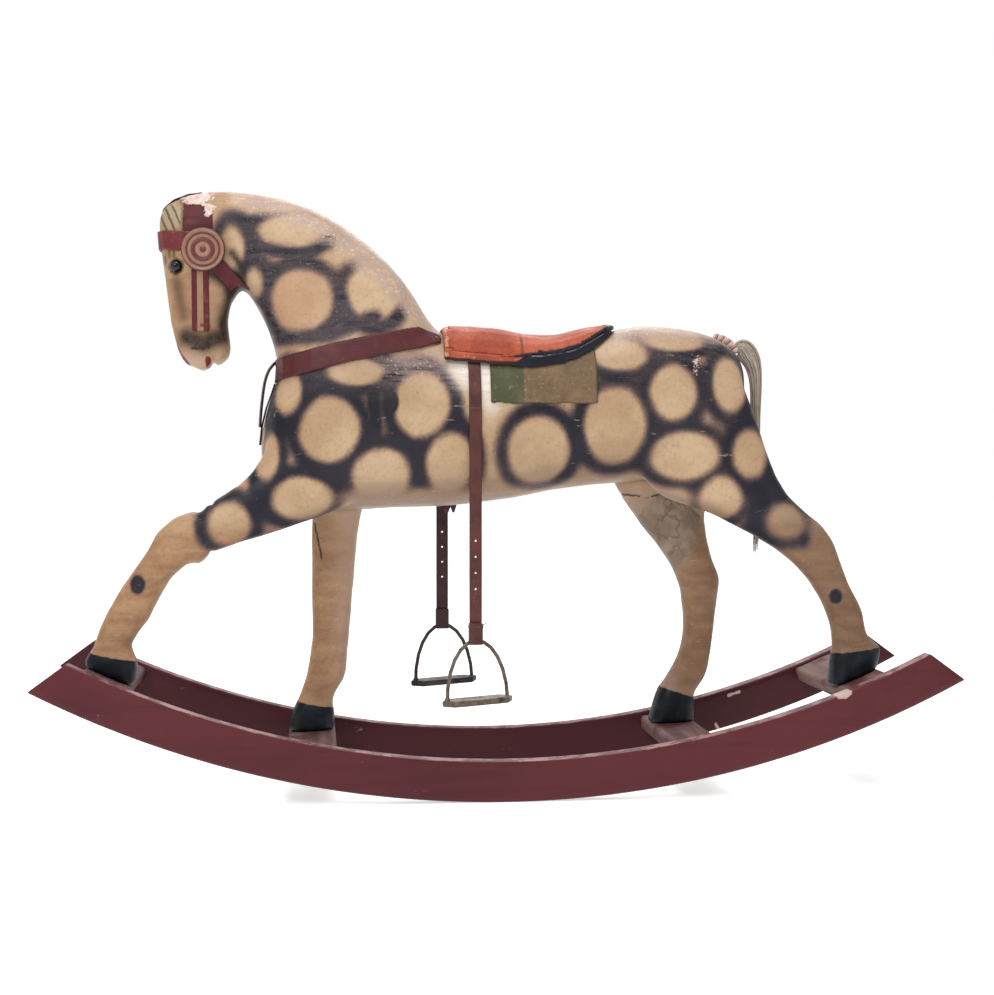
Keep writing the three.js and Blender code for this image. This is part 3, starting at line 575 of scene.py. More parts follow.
def inside_distance(px, pz, outline):
    """How far inside an outline of the side view a point is, less than 0 outside."""
    inside = np.zeros(len(px), dtype=bool)
    for (ax, az), (bx, bz) in zip(outline, outline[1:] + outline[:1]):
        crosses = (az > pz) != (bz > pz)
        slope = (bx - ax) / (bz - az if bz != az else 1e-9)
        inside ^= crosses & (px < ax + slope * (pz - az))
    away = segment_distance(px, pz, outline + outline[:1])
    return np.where(inside, away, -away)


def hoof_depth(x, y, z):
    """How far below its hoof's upper edge a point is, and far less than 0 off the hooves."""
    depth = np.full(len(x), -50.0)
    for ax, az, bx, bz, side in HOOF_LINES:
        near = (x > ax - 22) & (x < bx + 22) & (y * side > 15)
        line = az + (bz - az) * (x - ax) / (bx - ax)
        depth = np.where(near, np.maximum(depth, line - z), depth)
    return depth


def forelock_share(x, y, z):
    """The bulge of carved hair at the top of the forehead, from 0 to 1."""
    return smooth(-np.hypot((x + 433) / 17, (z - 752) / 19), -1.25, -0.75) * (x < -412)


def carve(mesh):
    x, y, z = (points_of(mesh) * 1000).T
    eye = np.hypot(x - EYE[0], z - EYE[1])
    face = x < -340
    bulge = forelock_share(x, y, z)
    lift = 1.7 * np.exp(-((eye - 11.5) / 2.6) ** 2) - 1.0 * np.exp(-(eye / 7) ** 2)
    lift += 1.6 * np.exp(-(segment_distance(x, z, [(-440, 702), (-424, 706), (-410, 702)]) / 3.6) ** 2)
    lift -= 1.3 * np.exp(-(segment_distance(x, z, [(-438, 711), (-420, 714), (-408, 708)]) / 2.4) ** 2)
    lift += 2.4 * bulge
    nostril = np.hypot(x + 397, z - 583)
    lift += 1.5 * np.exp(-((nostril - 10) / 3) ** 2)
    lift += 2.0 * smooth(34 - np.hypot(x + 370, (z - 645) * 0.9), 0, 16)
    lift -= 1.4 * np.exp(-(segment_distance(x, z, [(-374, 578), (-386, 590), (-408, 594)]) / 2.4) ** 2)
    lift -= 1.2 * np.exp(-(segment_distance(x, z, [(-352, 600), (-362, 608), (-366, 622)]) / 4) ** 2)
    lift *= face * smooth(np.abs(y), 4, 16)
    lift -= 3.5 * face * np.exp(-((x + 379) / 2.4) ** 2) * smooth(-z, -574, -562)
    lift += 0.5 * np.sin(x * 0.051 + z * 0.023) * np.sin(z * 0.047 - y * 0.03)
    lift -= 1.1 * np.exp(-(crack_distance(x, y, z) / 2.2) ** 2)
    lift += 0.7 * smooth(patch_share(x, y, z), 0.35, 0.55)
    points = points_of(mesh) + normals_of(mesh) * lift[:, None] * MM
    points[:, 2] -= 0.006 * face * np.exp(-((x + 393) / 9) ** 2) * smooth(-z, -576, -561)
    move_points(mesh, points)


def crack_distance(x, y, z):
    """Distance to the glued joints at the tops of the far legs and along the belly."""
    far = y > 20
    away = np.full(len(x), 99.0)
    joints = [[(-252, 376), (-215, 382), (-180, 372)], [(176, 388), (214, 384), (262, 398), (300, 372)], [(-246, 350), (-236, 300)]]
    for joint in joints:
        away = np.where(far, np.minimum(away, segment_distance(x, z, joint)), away)
    return away


def patch_share(x, y, z):
    """The glued cloth and filler on the far hind leg's thigh, and a little on the far fore leg."""
    thigh = 1.25 - np.hypot((x - 244) / 50, (z - 336) / 68)
    knee = 0.85 - np.hypot((x - 216) / 26, (z - 365) / 30)
    return np.where(y > 5, np.clip(np.maximum(thigh, knee), 0, 1), 0)


def paint_fields(mesh):
    x, y, z = (points_of(mesh) * 1000).T
    far = y > 0
    px = np.where(far, x + 14, x)
    pz = np.where(far, z - 5, z)
    out = np.where(z > 600, 52, 78)
    light = np.zeros(len(x))
    clear = np.ones(len(x))
    for cx, cy, cz, rx, rz in [(a, None, b, c, d) for a, b, c, d in DAPPLES] + [(a, b, c, d, d) for a, b, c, d in ROUND_DAPPLES]:
        off = np.clip(out - np.abs(y), 0, 99) / 62 if cy is None else (y - cy) / rx
        away = np.sqrt(((px - cx) / rx) ** 2 + ((pz - cz) / rz) ** 2 + off ** 2)
        beyond = (away - 1) * (rx + rz) / 2
        light = np.maximum(light, smooth(-beyond, -14, 15))
        clear *= 1 - 0.87 * smooth(beyond, -12, 7) * smooth(-beyond, -33, -9)
    notch = smooth(-np.hypot((px + 146) / 10, (pz - 511) / 17), -1.3, -0.6)
    light = light * (1 - 0.9 * notch)

    net = np.maximum(1 - clear, notch)
    net = np.maximum(net, 0.97 * smooth(x, 296, 336) * smooth(-z, -474, -420))
    net *= np.where(x < -250, smooth(x, -414, -396), 1)
    net *= np.where(x > 250, 1 - smooth(x, 400, 430), 1)
    net *= np.where(far, smooth(z, 372, 410), smooth(z, 298, 332))
    belly = smooth(-z, -412, -384) * smooth(x, -240, -180) * (1 - smooth(x, 235, 275))
    net *= 1 - 0.85 * belly
    crest = np.interp(x, [-420, -350, -290, -230, -170, -120, -80], [790, 790, 772, 740, 690, 640, 606])
    back = np.interp(x, [-80, 150, 200, 300, 340], [600, 612, 618, 612, 590])
    top = np.where(x < -80, crest, back) - z
    upper = smooth(-top, -32, -4)
    net *= 1 - 0.7 * upper
    saddle_patch = np.maximum(np.exp(-(((x + 46) / 26) ** 2 + ((z - 566) / 38) ** 2) ** 2),
                              np.exp(-(((x + 18) / 17) ** 2 + ((z - 545) / 48) ** 2) ** 2))
    net *= 1 - 0.9 * saddle_patch
    net *= 1 - light
    for width, line in DARK_STROKES:
        net = np.maximum(net, 0.86 * np.exp(-(segment_distance(px, pz, line) / width) ** 2))
    for cx, cz, rx, rz in KNEE_SPOTS:
        net = np.maximum(net, smooth(-np.hypot((x - cx) / rx, (z - cz) / rz), -1.25, -0.5) * (np.abs(y) > 40))
    keep_field(mesh, "net", net)

    head = smooth(-x, 345, 365) * smooth(z, 560, 600)
    keep_field(mesh, "leg", np.maximum(smooth(-z, -372, -330), 0.75 * head))
    muzzle_tip = 0.95 * (x < -383) * (z > 540) * smooth(-z, -580, -568)
    keep_field(mesh, "blush", np.maximum(belly, muzzle_tip))
    tan = head * np.exp(-(segment_distance(x, z, [(-420, 664), (-414, 630)]) / 12) ** 2)
    keep_field(mesh, "tint", np.maximum(tan, np.exp(-(np.hypot(x + 272, z - 640) / 50) ** 2)))
    bulge = forelock_share(x, y, z)
    keep_field(mesh, "lock", bulge * (np.abs(y) > 3))
    outline = np.exp(-(segment_distance(x, z, [(-416, 735), (-416, 770), (-424, 779)]) / 2.2) ** 2) * (np.abs(y) > 8)
    keep_field(mesh, "groove", np.clip(0.9 * outline * head, 0, 1))
    # Pale top: paint rubbed along the crest and back and a pale haze in front of the saddle, with painted highlight
    # growing towards the top.
    haze = 0.7 * np.exp(-(((x + 118) / 52) ** 2 + ((z - 560) / 24) ** 2))
    keep_field(mesh, "wear_and_highlight", np.clip(upper + haze + 0.12 * smooth(z, 480, 600), 0, 1) * smooth(x, -372, -330))
    # Painted shade: faces turned downward, the rear of the hindquarters and the far hind leg.
    underside_shade = smooth(-normals_of(mesh)[:, 2], 0.15, 0.8) * smooth(z, 300, 340) * (x > -330)
    rear_shade = np.maximum(0.85 * smooth(x, 300, 420) * smooth(-z, -500, -380), 0.55 * far * smooth(x, 180, 200) * smooth(-z, -400, -350))
    keep_field(mesh, "shade", np.maximum(0.7 * underside_shade, rear_shade))
    keep_field(mesh, "bare", saddle_patch)
    keep_field(mesh, "patch", patch_share(x, y, z))
    eye = np.hypot(x - EYE[0], z - EYE[1])
    muzzle = 1.0 * np.exp(-(segment_distance(x, z, [(-412, 597), (-390, 588), (-364, 600)]) / 13) ** 2)
    marks = [(-434, 708), (-433, 699)], [(-428, 710), (-427, 701)], [(-440, 702), (-439, 694)]
    brow = 0.8 * np.exp(-(np.maximum(eye - 8.8, 0) / 1.6) ** 2)
    for mark in marks:
        brow = np.maximum(brow, 0.7 * np.exp(-(segment_distance(x, z, mark) / 1.8) ** 2))
    jaw = 0.95 * np.exp(-(segment_distance(x, z, [(-348, 674), (-353, 646), (-364, 612)]) / 11) ** 2)
    boss = 0.8 * np.exp(-(segment_distance(x, z, [(-384, 682), (-364, 672)]) / 9) ** 2)
    cheek = 0.55 * np.exp(-(segment_distance(x, z, [(-424, 668), (-416, 624)]) / 9) ** 2)
    throat = 0.9 * np.exp(-(segment_distance(x, z, [(-352, 706), (-337, 684), (-338, 664)]) / 6) ** 2)
    # Darker places on the head: a band across the muzzle, marks round and above the eye, and soft dark along the back
    # of the jaw, under the rosette, beside the cheek strap and under the throat lash.
    shades = np.max([muzzle, brow, jaw, boss, cheek, throat], axis=0)
    keep_field(mesh, "head_darkening", np.clip(1.2 * (x < -325) * shades, 0, 1))
    headpiece = inside_distance(x, z, HEADPIECE)
    keep_field(mesh, "strap", np.where(np.abs(y) > 6, headpiece, -50.0))
    keep_field(mesh, "ragged", smooth(z, 752, 764))
    front_lip = 2.6 - segment_distance(x, z, [(-428, 588), (-421, 574), (-411, 561)])
    lips = np.maximum(front_lip, 3.6 - segment_distance(x, z, [(-385, 569), (-383, 552)]))
    keep_field(mesh, "lip", np.where(z < 600, lips, -50.0))
    gesso = np.exp(-(((x + 398) / 26) ** 2 + ((z - 780) / 13) ** 2)) * 1.15
    gesso = np.maximum(gesso, np.exp(-(((x + 382) / 10) ** 2 + ((z - 763) / 12) ** 2)))
    for cx, cz, rx, rz, much in [(256, 561, 15, 24, 0.62), (250, 590, 20, 10, 0.4), (-262, 702, 40, 16, 0.3), (-200, 630, 60, 10, 0.35),
                                 (-130, 560, 50, 20, 0.25), (-70, 520, 30, 60, 0.35), (200, 500, 14, 20, 0.35), (12, 515, 20, 10, 0.2)]:
        gesso = np.maximum(gesso, much * np.exp(-(((x - cx) / rx) ** 2 + ((z - cz) / rz) ** 2)))
    keep_field(mesh, "gesso", gesso)
    keep_field(mesh, "hoof", hoof_depth(x, y, z))
    slits = np.minimum(segment_distance(x, z, [(-405, 582), (-390, 581)]), segment_distance(x, z, [(-385, 591), (-384, 583)]))
    slits = np.where((x < -350) & (np.abs(y) > 10), slits, 99)
    keep_field(mesh, "crack", np.exp(-(np.minimum(crack_distance(x, y, z) * 1.2, slits * 0.8) / 2.2) ** 2))


horse = remeshed("horse", "horse_body", 0.0037)
hx, hy, hz = (points_of(horse.data) * 1000).T
hold = np.where(hoof_depth(hx, hy, hz) > -8, 0.12, 1.0)
hold = np.minimum(hold, np.where((hx < -350) & (hz < 620), 0.25, 1.0))
hold = np.minimum(hold, np.where(np.hypot(hx - EYE[0], hz - EYE[1]) < 13, 0.15, 1.0))
relax(horse.data, 60, hold)
carve(horse.data)
relax(horse.data, 2)
paint_fields(horse.data)
dress(horse, horse_paint(), "horse_paint", "horse")

for side, node in ((-1, "eye_left"), (1, "eye_right")):
    low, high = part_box(node)
    centre = [(a + b) / 2 for a, b in zip(low, high)]
    ball = bmesh.new()
    bmesh.ops.create_uvsphere(ball, u_segments=36, v_segments=24, radius=0.0075)
    bmesh.ops.translate(ball, verts=ball.verts, vec=centre)
    mesh = bpy.data.meshes.new(node + "_ball")
    ball.to_mesh(mesh)
    ball.free()
    spot = points_of(mesh) - np.array(centre)
    keep_field(mesh, "radius", np.where(spot[:, 1] * side > 0, np.hypot(spot[:, 0], spot[:, 2]) / 0.0075, 1))
    dress(link(node + "_ball", mesh), eye_glass() if side < 0 else bpy.data.materials["eye_glass"], "eye_glass", node)


# Rockers and slats

ROCKER_RADIUS, ROCKER_DEPTH, ROCKER_PLANK, STAND_HALF = 1289, 52, 25, 150
ROCKER_TIP, ROCKER_CORNER = 600.2, 553.2


def make_rocker(name, side, material):
    rounding = 2.2
    across = [(rounding, 0), (8, 0), (ROCKER_PLANK / 2, 0), (ROCKER_PLANK - 8, 0), (ROCKER_PLANK - rounding, 0)]
    corner = [(ROCKER_PLANK - rounding + rounding * math.sin(a), rounding - rounding * math.cos(a)) for a in (0.4, 0.8, 1.17)]
    up = [(ROCKER_PLANK, v) for v in (rounding, 8, 17, 26, 35, 44, ROCKER_DEPTH - rounding)]
    half = across + corner + up
    ring = half + [(ROCKER_PLANK - w, ROCKER_DEPTH - v) for w, v in half]
    rows = []
    count = 150
    for i in range(count + 1):
        t = i / count
        xb = -ROCKER_TIP + 2 * ROCKER_TIP * t
        xt = -ROCKER_CORNER + 2 * ROCKER_CORNER * t
        zb = ROCKER_RADIUS - math.sqrt(ROCKER_RADIUS ** 2 - xb ** 2)
        zt = ROCKER_RADIUS - math.sqrt((ROCKER_RADIUS - ROCKER_DEPTH) ** 2 - xt ** 2)
        row = []
        for w, v in ring:
            share = v / ROCKER_DEPTH
            y = side * (STAND_HALF - w)
            row.append(Vector((xb + (xt - xb) * share, y, zb + (zt - zb) * share)) * MM)
        rows.append(row)
    obj = link(name, grid_mesh(name, rows, closed_across=True, caps=True))
    edge = obj.modifiers.new("edges", "BEVEL")
    edge.width = 0.0015
    edge.segments = 2
    edge.limit_method = "ANGLE"
    edge.angle_limit = math.radians(60)
    graph = bpy.context.evaluated_depsgraph_get()
    obj.data = bpy.data.meshes.new_from_object(obj.evaluated_get(graph))
    obj.modifiers.clear()
    x, y, z = (points_of(obj.data) * 1000).T
    top = ROCKER_RADIUS - np.sqrt((ROCKER_RADIUS - ROCKER_DEPTH) ** 2 - np.clip(x, -ROCKER_TIP, ROCKER_TIP) ** 2)
    keep_field(obj.data, "inner", (np.abs(y) < STAND_HALF - ROCKER_PLANK + 0.6).astype(float))
    end = smooth(np.abs(x), 545, 600) * 0.35
    keep_field(obj.data, "rim", np.clip(np.exp(-np.abs(top - z) / 2.5) * 0.9 + end, 0, 1.2))
    near_chip = np.exp(-(((x - 438) / 12) ** 2 + ((z - top) / 9) ** 2))
    arc = np.exp(-((np.hypot(x - 372, z - 60) - 40) / 2.0) ** 2) * (x < 372) * 0.8
    keep_field(obj.data, "chip", near_chip if side < 0 else arc * (np.abs(y) < STAND_HALF - ROCKER_PLANK + 1))
    return dress(obj, material, "rocker_paint", "rocker_left" if side < 0 else "rocker_right")


red_paint = rocker_paint()
make_rocker("rocker_plank_left", -1, red_paint)
make_rocker("rocker_plank_right", 1, red_paint)
board_paint = slat_paint()
for node in ("slat_left_fore", "slat_right_fore", "slat_right_hind", "slat_left_hind"):
    nodes[node].data.materials.clear()
    nodes[node].data.materials.append(board_paint)


# Saddlery

def worn_piece(node, name, voxel, rounds, material, slot_name, line=None, width=20, grow=0.0):
    """A rounded, fine copy of a strap's solid, with a field for how far across it a point lies."""
    piece = remeshed(node, name, voxel)
    relax(piece.data, rounds, back=0.45)
    points = points_of(piece.data)
    if grow:
        points = points + normals_of(piece.data) * grow * MM
        move_points(piece.data, points)
    x, z = points[:, 0] * 1000, points[:, 2] * 1000
    keep_field(piece.data, "across", segment_distance(x, z, line) / (width / 2) if line else np.zeros(len(x)))
    return dress(piece, material, slot_name, node)


strap = leather("strap_leather", rgb(92, 31, 33), rgb(74, 24, 29), rgb(118, 62, 60), 1.0, (0.72, 0.9, 0.5, rgb(70, 28, 32)))
breast_line = [(-340, 542), (-294, 554), (-212, 575), (-160, 586), (-108, 597), (-79, 596)]
worn_piece("breast_strap", "breast_leather", 0.0014, 14, strap, "strap_leather", breast_line, 29, 0.35)
worn_piece("brow_band", "brow_leather", 0.0011, 10, leather("brow_leather_skin", rgb(122, 42, 44), rgb(98, 28, 34), rgb(180, 108, 104), 1.2),
           "strap_leather", [(-482, 727), (-402, 719)], 24, 0.35)
dark_strap = leather("lash_leather", rgb(104, 30, 36), rgb(84, 22, 30), rgb(130, 62, 60), 1.2, (0.75, 0.95, 0.5, rgb(56, 18, 22)))
cheek = cheek_leather()
for hand in ("left", "right"):
    worn_piece("throat_lash_" + hand, "throat_leather_" + hand, 0.0011, 10, dark_strap, "strap_leather", [(-381, 701), (-337, 652)], 20, 0.35)
    worn_piece("cheek_strap_" + hand, "cheek_leather_" + hand, 0.0011, 8, cheek, "strap_leather", [(-393.7, 690), (-393.7, 600)], 22, 0.35)
old_leather = leather("worn_leather", rgb(84, 52, 40), rgb(52, 34, 28), rgb(150, 112, 88), 1.5)
worn_piece("chest_thong", "thong_leather", 0.0009, 8, leather("thong_skin", rgb(26, 22, 22), rgb(14, 12, 12), rgb(60, 50, 46), 1.5), "worn_leather")
worn_piece("chest_tab", "tab_leather", 0.0009, 8, old_leather, "worn_leather")

stirrup_skin = leather("stirrup_leather", rgb(96, 47, 39), rgb(76, 36, 32), rgb(130, 82, 72), 1.2, (0.7, 0.9, 0.35, rgb(66, 34, 36)))
# Painted shade: the far stirrup leather, loop and iron are darker copies of the near ones.
shaded_far_skin = leather("far_stirrup_leather_shaded", rgb(66, 30, 34), rgb(48, 22, 26), rgb(84, 50, 50), 1.2, (0.7, 0.9, 0.35, rgb(48, 24, 28)))
near_metal = iron_metal("near_iron", rgb(122, 108, 94), rgb(78, 62, 52))
shaded_far_metal = iron_metal("far_iron_shaded", rgb(70, 64, 58), rgb(46, 38, 32))
for hand, x, skin, metal in (("left", -37.7, stirrup_skin, near_metal), ("right", -68.1, shaded_far_skin, shaded_far_metal)):
    worn_piece("stirrup_strap_" + hand, "stirrup_leather_" + hand, 0.0009, 5, skin, "strap_leather", [(x, 620), (x, 200)], 16, 0.2)
    worn_piece("stirrup_loop_" + hand, "stirrup_keeper_" + hand, 0.0008, 10, skin, "strap_leather", [(x, 240), (x, 180)], 18)
    iron = worn_piece("stirrup_iron_" + hand, "stirrup_steel_" + hand, 0.0008, 8, metal, "stirrup_metal")
    shape = points_of(iron.data)
    tread = smooth(-(shape[:, 2] - shape[:, 2].min()) * 1000, -11, -8)
    move_points(iron.data, shape + normals_of(iron.data) * tread[:, None] * 1.3 * MM)


def make_rosette(side, material):
    """A turned leather boss: a raised middle, grooves between its rings and a thin rim."""
    node = "rosette_left" if side < 0 else "rosette_right"
    low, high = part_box(node)
    cx, cz = (low[0] + high[0]) / 2, (low[2] + high[2]) / 2
    back = (high[1] if side < 0 else low[1])
    face = (low[1] if side < 0 else high[1])
    radius = (high[0] - low[0]) / 2
    profile = [(0.0, 0.93), (0.05, 0.95), (0.11, 0.9), (0.14, 0.72), (0.2, 0.8), (0.28, 0.84), (0.34, 0.72), (0.37, 0.66), (0.42, 0.84), (0.5, 0.92),
               (0.55, 0.72), (0.6, 0.84), (0.66, 0.74), (0.7, 0.64), (0.76, 0.82), (0.8, 0.66), (0.86, 0.86), (0.92, 1.0), (0.97, 0.92), (1.0, 0.66),
               (1.0, 0.3), (0.97, 0.05)]
    rows = []
    for r, h in profile:
        ring = []
        for k in range(72):
            a = 2 * math.pi * k / 72
            wobble = 1 + 0.006 * math.sin(3 * a + r) + (0.006 * math.sin(17 * a) if r > 0.9 else 0)
            ring.append((cx + radius * r * wobble * math.cos(a), back + (face - back) * h, cz + radius * r * wobble * math.sin(a)))
        rows.append(ring)
    mesh = grid_mesh(node + "_boss", rows, closed_across=True, caps=True)
    points = points_of(mesh)
    keep_field(mesh, "radius", np.clip(np.hypot(points[:, 0] - cx, points[:, 2] - cz) / radius, 0, 1))
    return dress(link(node + "_boss", mesh), material, "rosette_leather", node)


boss = rosette_leather()
make_rosette(-1, boss)
make_rosette(1, boss)


def saddle_piece(node, name, voxel, rounds):
    piece = remeshed(node, name, voxel)
    relax(piece.data, rounds, back=0.5)
    return piece


seat = saddle_piece("saddle_seat", "seat_cover", 0.0017, 12)
sx, sy, sz = (points_of(seat.data) * 1000).T
up = normals_of(seat.data)[:, 2]
seam = np.exp(-((sx - 26) / 1.1) ** 2)
crown = smooth(up, 0.2, 0.9)
edge = np.minimum(np.abs(sx + 77), 75 - np.abs(sy))
lift = 0.6 * np.sin(sx * 0.11 + sy * 0.05) * np.sin(sy * 0.09) * crown - 1.4 * seam + 0.5 * np.sin(sy * 0.8 + sx * 0.6) * smooth(-edge, -5, 0)
move_points(seat.data, points_of(seat.data) + normals_of(seat.data) * lift[:, None] * MM)
keep_field(seat.data, "seam", 0.8 * np.exp(-((sx - 26) / 1.5) ** 2) * (np.abs(sy) > 12))
keep_field(seat.data, "hem", 0.75 * smooth(-sx, 62, 76) + 0.4 * smooth(-edge, -6, 0) * smooth(-sx, -30, 0))
keep_field(seat.data, "under", np.zeros(len(sx)))
slot_of = np.clip(((sx + 80) / 3).astype(int), 0, 90)
widest, rim_z = np.zeros(91), np.full(91, 1e9)
np.maximum.at(widest, slot_of, np.abs(sy))
np.minimum.at(rim_z, slot_of, np.where(np.abs(sy) > 0.85 * widest[slot_of], sz, 1e9))
keep_field(seat.data, "navy", smooth(6 * smooth(sx, 0, 45) - sz + rim_z[slot_of], -1, 1) * smooth(sx, 0, 14))
dress(seat, seat_leather(), "seat_leather", "saddle_seat")

pad = saddle_piece("saddle_pad", "pad_cover", 0.0017, 12)
ax, ay, az = (points_of(pad.data) * 1000).T
half_width = 75 * (1 - np.clip((ax - 81) / 79, 0, 1) ** 2.4) ** (1 / 2.4)
from_edge = half_width - np.abs(ay)
upper = smooth(normals_of(pad.data)[:, 2], 0.1, 0.5)
# Painted highlight: a pale line along the pad's upper edge, on faces turned upward.
keep_field(pad.data, "edge_highlight", np.exp(-((from_edge - 1.5) / 1.6) ** 2) * upper * smooth(ax, 15, 40) * 0.9)
column = np.clip(((ax + 80) / 3).astype(int), 0, 90)
rim_low = np.full(91, 1e9)
np.minimum.at(rim_low, column, np.where(np.abs(ay) > 66, az, 1e9))
above_rim = az - rim_low[column]
keep_field(pad.data, "front", smooth(1.5 * above_rim - ax, -16, 2))
keep_field(pad.data, "under", smooth(-above_rim, -9, -6))
keep_field(pad.data, "hem", 0.6 * np.exp(-((above_rim - 10) / 3) ** 2) + 0.4 * smooth(-ax, 68, 76))
raised = points_of(pad.data)
raised[:, 2] += 0.0035 * smooth(-above_rim, -9, 0) * smooth(np.abs(ay), 55, 66) * smooth(-ax, -30, -5)
move_points(pad.data, raised)
dress(pad, pad_leather(), "pad_leather", "saddle_pad")


def make_saddle_cloth():
    """A thin felt laid over the back, cut from rays that meet the horse round its long axis."""
    tree = BVHTree.FromObject(horse, bpy.context.evaluated_depsgraph_get())
    axis = 0.47
    columns, steps = 56, 96
    rows = []
    for i in range(columns + 1):
        x = (-17 + 140 * i / columns) * MM
        path = []
        for k in range(241):
            angle = math.radians(-76 + 152 * k / 240)
            away = Vector((0, math.sin(angle), math.cos(angle)))
            hit, normal, _, _ = tree.ray_cast(Vector((x, 0, axis)) + away * 0.3, -away)
            path.append(hit + normal * 0.0012)
        low_end = (0.5095 + 0.0008 * math.sin(i * 0.35)) if i else 0.511
        kept = [p for p in path if p.z > low_end]
        lengths = [0.0]
        for p, q in zip(kept, kept[1:]):
            lengths.append(lengths[-1] + (q - p).length)
        row = []
        j = 0
        for k in range(steps + 1):
            want = lengths[-1] * k / steps
            while j < len(kept) - 2 and lengths[j + 1] < want:
                j += 1
            t = (want - lengths[j]) / (lengths[j + 1] - lengths[j])
            row.append(kept[j].lerp(kept[j + 1], t))
        rows.append(row)
    mesh = grid_mesh("saddle_felt", rows)
    points = points_of(mesh)
    normals = normals_of(mesh)
    if normals[len(normals) // 2][2] < 0:
        mesh.flip_normals()
    x, y, z = (points * 1000).T
    brown = smooth(x, 26, 28)
    keep_field(mesh, "brown", brown)
    motif = np.zeros(len(x))
    for cx, cz, r in ((104, 548, 15), (104, 548, 9), (66, 536, 17), (66, 536, 10), (108, 524, 11), (40, 552, 10)):
        motif = np.maximum(motif, np.exp(-((np.hypot(x - cx, z - cz) - r) / 1.2) ** 2))
    motif = np.maximum(motif, 0.8 * np.exp(-((z - 518) / 1.0) ** 2) * (x > 30))
    keep_field(mesh, "motif", motif)
    hem = np.minimum(np.minimum(x + 17, 123 - x), z - 509)
    keep_field(mesh, "hem", smooth(-hem, -5, 0))
    cloth = link("saddle_felt", mesh)
    thick = cloth.modifiers.new("felt", "SOLIDIFY")
    thick.thickness = 0.0016
    thick.offset = 0
    dress(cloth, felt_cloth(), "felt", "saddle_cloth")


make_saddle_cloth()


# Tail

def flat_points(pairs):
    return [Vector((x * MM, 0, z * MM)) for x, z in pairs]


def make_binding():
    path = curve_points(flat_points([(298, 603), (314, 598), (330, 585)]), 90)
    rows = tube_rows(path, lambda t: (5.6 + 1.2 * abs(math.sin(t * math.pi * 4))) * MM, 28)
    for i, row in enumerate(rows):
        for k, p in enumerate(row):
            twist = math.sin(i / len(rows) * math.pi * 8 + 2 * math.pi * k / 28)
            row[k] = path[i] + (p - path[i]) * (1 + 0.06 * twist)
    mesh = grid_mesh("dock_binding", rows, closed_across=True, caps=True)
    turns = [((i / len(rows)) * 4 + k / 28) % 1 for i in range(len(rows)) for k in range(28)]
    keep_field(mesh, "turn", turns)
    dress(link("dock_binding", mesh), binding_tape(), "tail_tape", "tail_binding")


def make_tail():
    draw = random.Random(11)
    spine = curve_points(flat_points([(326, 586), (342, 591), (354, 577), (358, 548), (357, 498), (357, 437), (360, 370), (357, 308)]), 34)
    points, faces, strands = [], [], []
    for s in range(210):
        angle, spread = draw.uniform(0, 2 * math.pi), math.sqrt(draw.random())
        ox, oy = math.cos(angle) * spread * 6.5, math.sin(angle) * spread * 8.2
        reach = draw.uniform(0.72, 1.0) if s % 5 else draw.uniform(0.9, 1.0)
        wave, phase = draw.uniform(0.5, 2.4), draw.uniform(0, 6.28)
        size, shade = draw.uniform(0.55, 1.15), draw.random()
        path = []
        for i in range(30):
            t = i / 29 * reach
            k = t * (len(spine) - 1)
            j = min(int(k), len(spine) - 2)
            base = spine[j].lerp(spine[j + 1], k - j)
            ahead = (spine[j + 1] - spine[j]).normalized()
            side = Vector((-ahead.z, 0, ahead.x))
            swell = 0.4 + 0.55 * math.sin(math.pi * min(1, 0.12 + t * 0.95)) + 0.2 * t
            fan = 1 + 1.3 * math.exp(-((t - 0.23) / 0.16) ** 2)
            inward = 5.0 * (fan - 1)
            shift = math.sin(t * 9 + phase) * wave * t
            path.append(base + (side * ox * swell * fan + Vector((-inward, oy * swell + shift, 0))) * MM)
        start = len(points)
        for row in tube_rows(path, lambda t, size=size: size * (1 - 0.75 * t ** 2) * MM, 4):
            points.extend(row)
            strands.extend([shade] * 4)
        for r in range(29):
            for k in range(4):
                a, b = start + r * 4 + k, start + r * 4 + (k + 1) % 4
                faces.append((a, b, b + 4, a + 4))
        faces.append(tuple(start + k for k in (3, 2, 1, 0)))
        faces.append(tuple(start + 29 * 4 + k for k in range(4)))
    mesh = bpy.data.meshes.new("tail_strands")
    mesh.from_pydata([tuple(p) for p in points], [], faces)
    keep_field(mesh, "strand", strands)
    dress(link("tail_strands", mesh), tail_hair(), "tail_hair", "tail_hair")


make_binding()
make_tail()


# Small fittings: nails in the cheek straps and the ends of the breast strap, the broken leather over the poll, a wire
# round the near stirrup loop, a scrap of old girth under the belly

def horse_tree():
    return BVHTree.FromObject(horse, bpy.context.evaluated_depsgraph_get())


def make_tacks():
    """Nails through the cheek straps and through the ends of the breast strap."""
    tacks = bmesh.new()
    for piece, x, z, side, radius in (("cheek_leather_left", -392, 612, -1, 2.2), ("cheek_leather_right", -392, 612, 1, 2.2),
                                      ("breast_leather", -86, 596, -1, 2.4), ("breast_leather", -86, 596, 1, 2.4)):
        tree = BVHTree.FromObject(bpy.data.objects[piece], bpy.context.evaluated_depsgraph_get())
        hit = tree.ray_cast(Vector((x * MM, side * 0.3, z * MM)), Vector((0, -side, 0)))[0]
        made = bmesh.ops.create_uvsphere(tacks, u_segments=14, v_segments=8, radius=radius * MM)
        bmesh.ops.scale(tacks, verts=made["verts"], vec=(1, 0.45, 1))
        bmesh.ops.translate(tacks, verts=made["verts"], vec=(x * MM, hit.y, z * MM))
    mesh = bpy.data.meshes.new("strap_tacks")
    tacks.to_mesh(mesh)
    tacks.free()
    dress(link("strap_tacks", mesh), brass_tack(), "stirrup_metal")


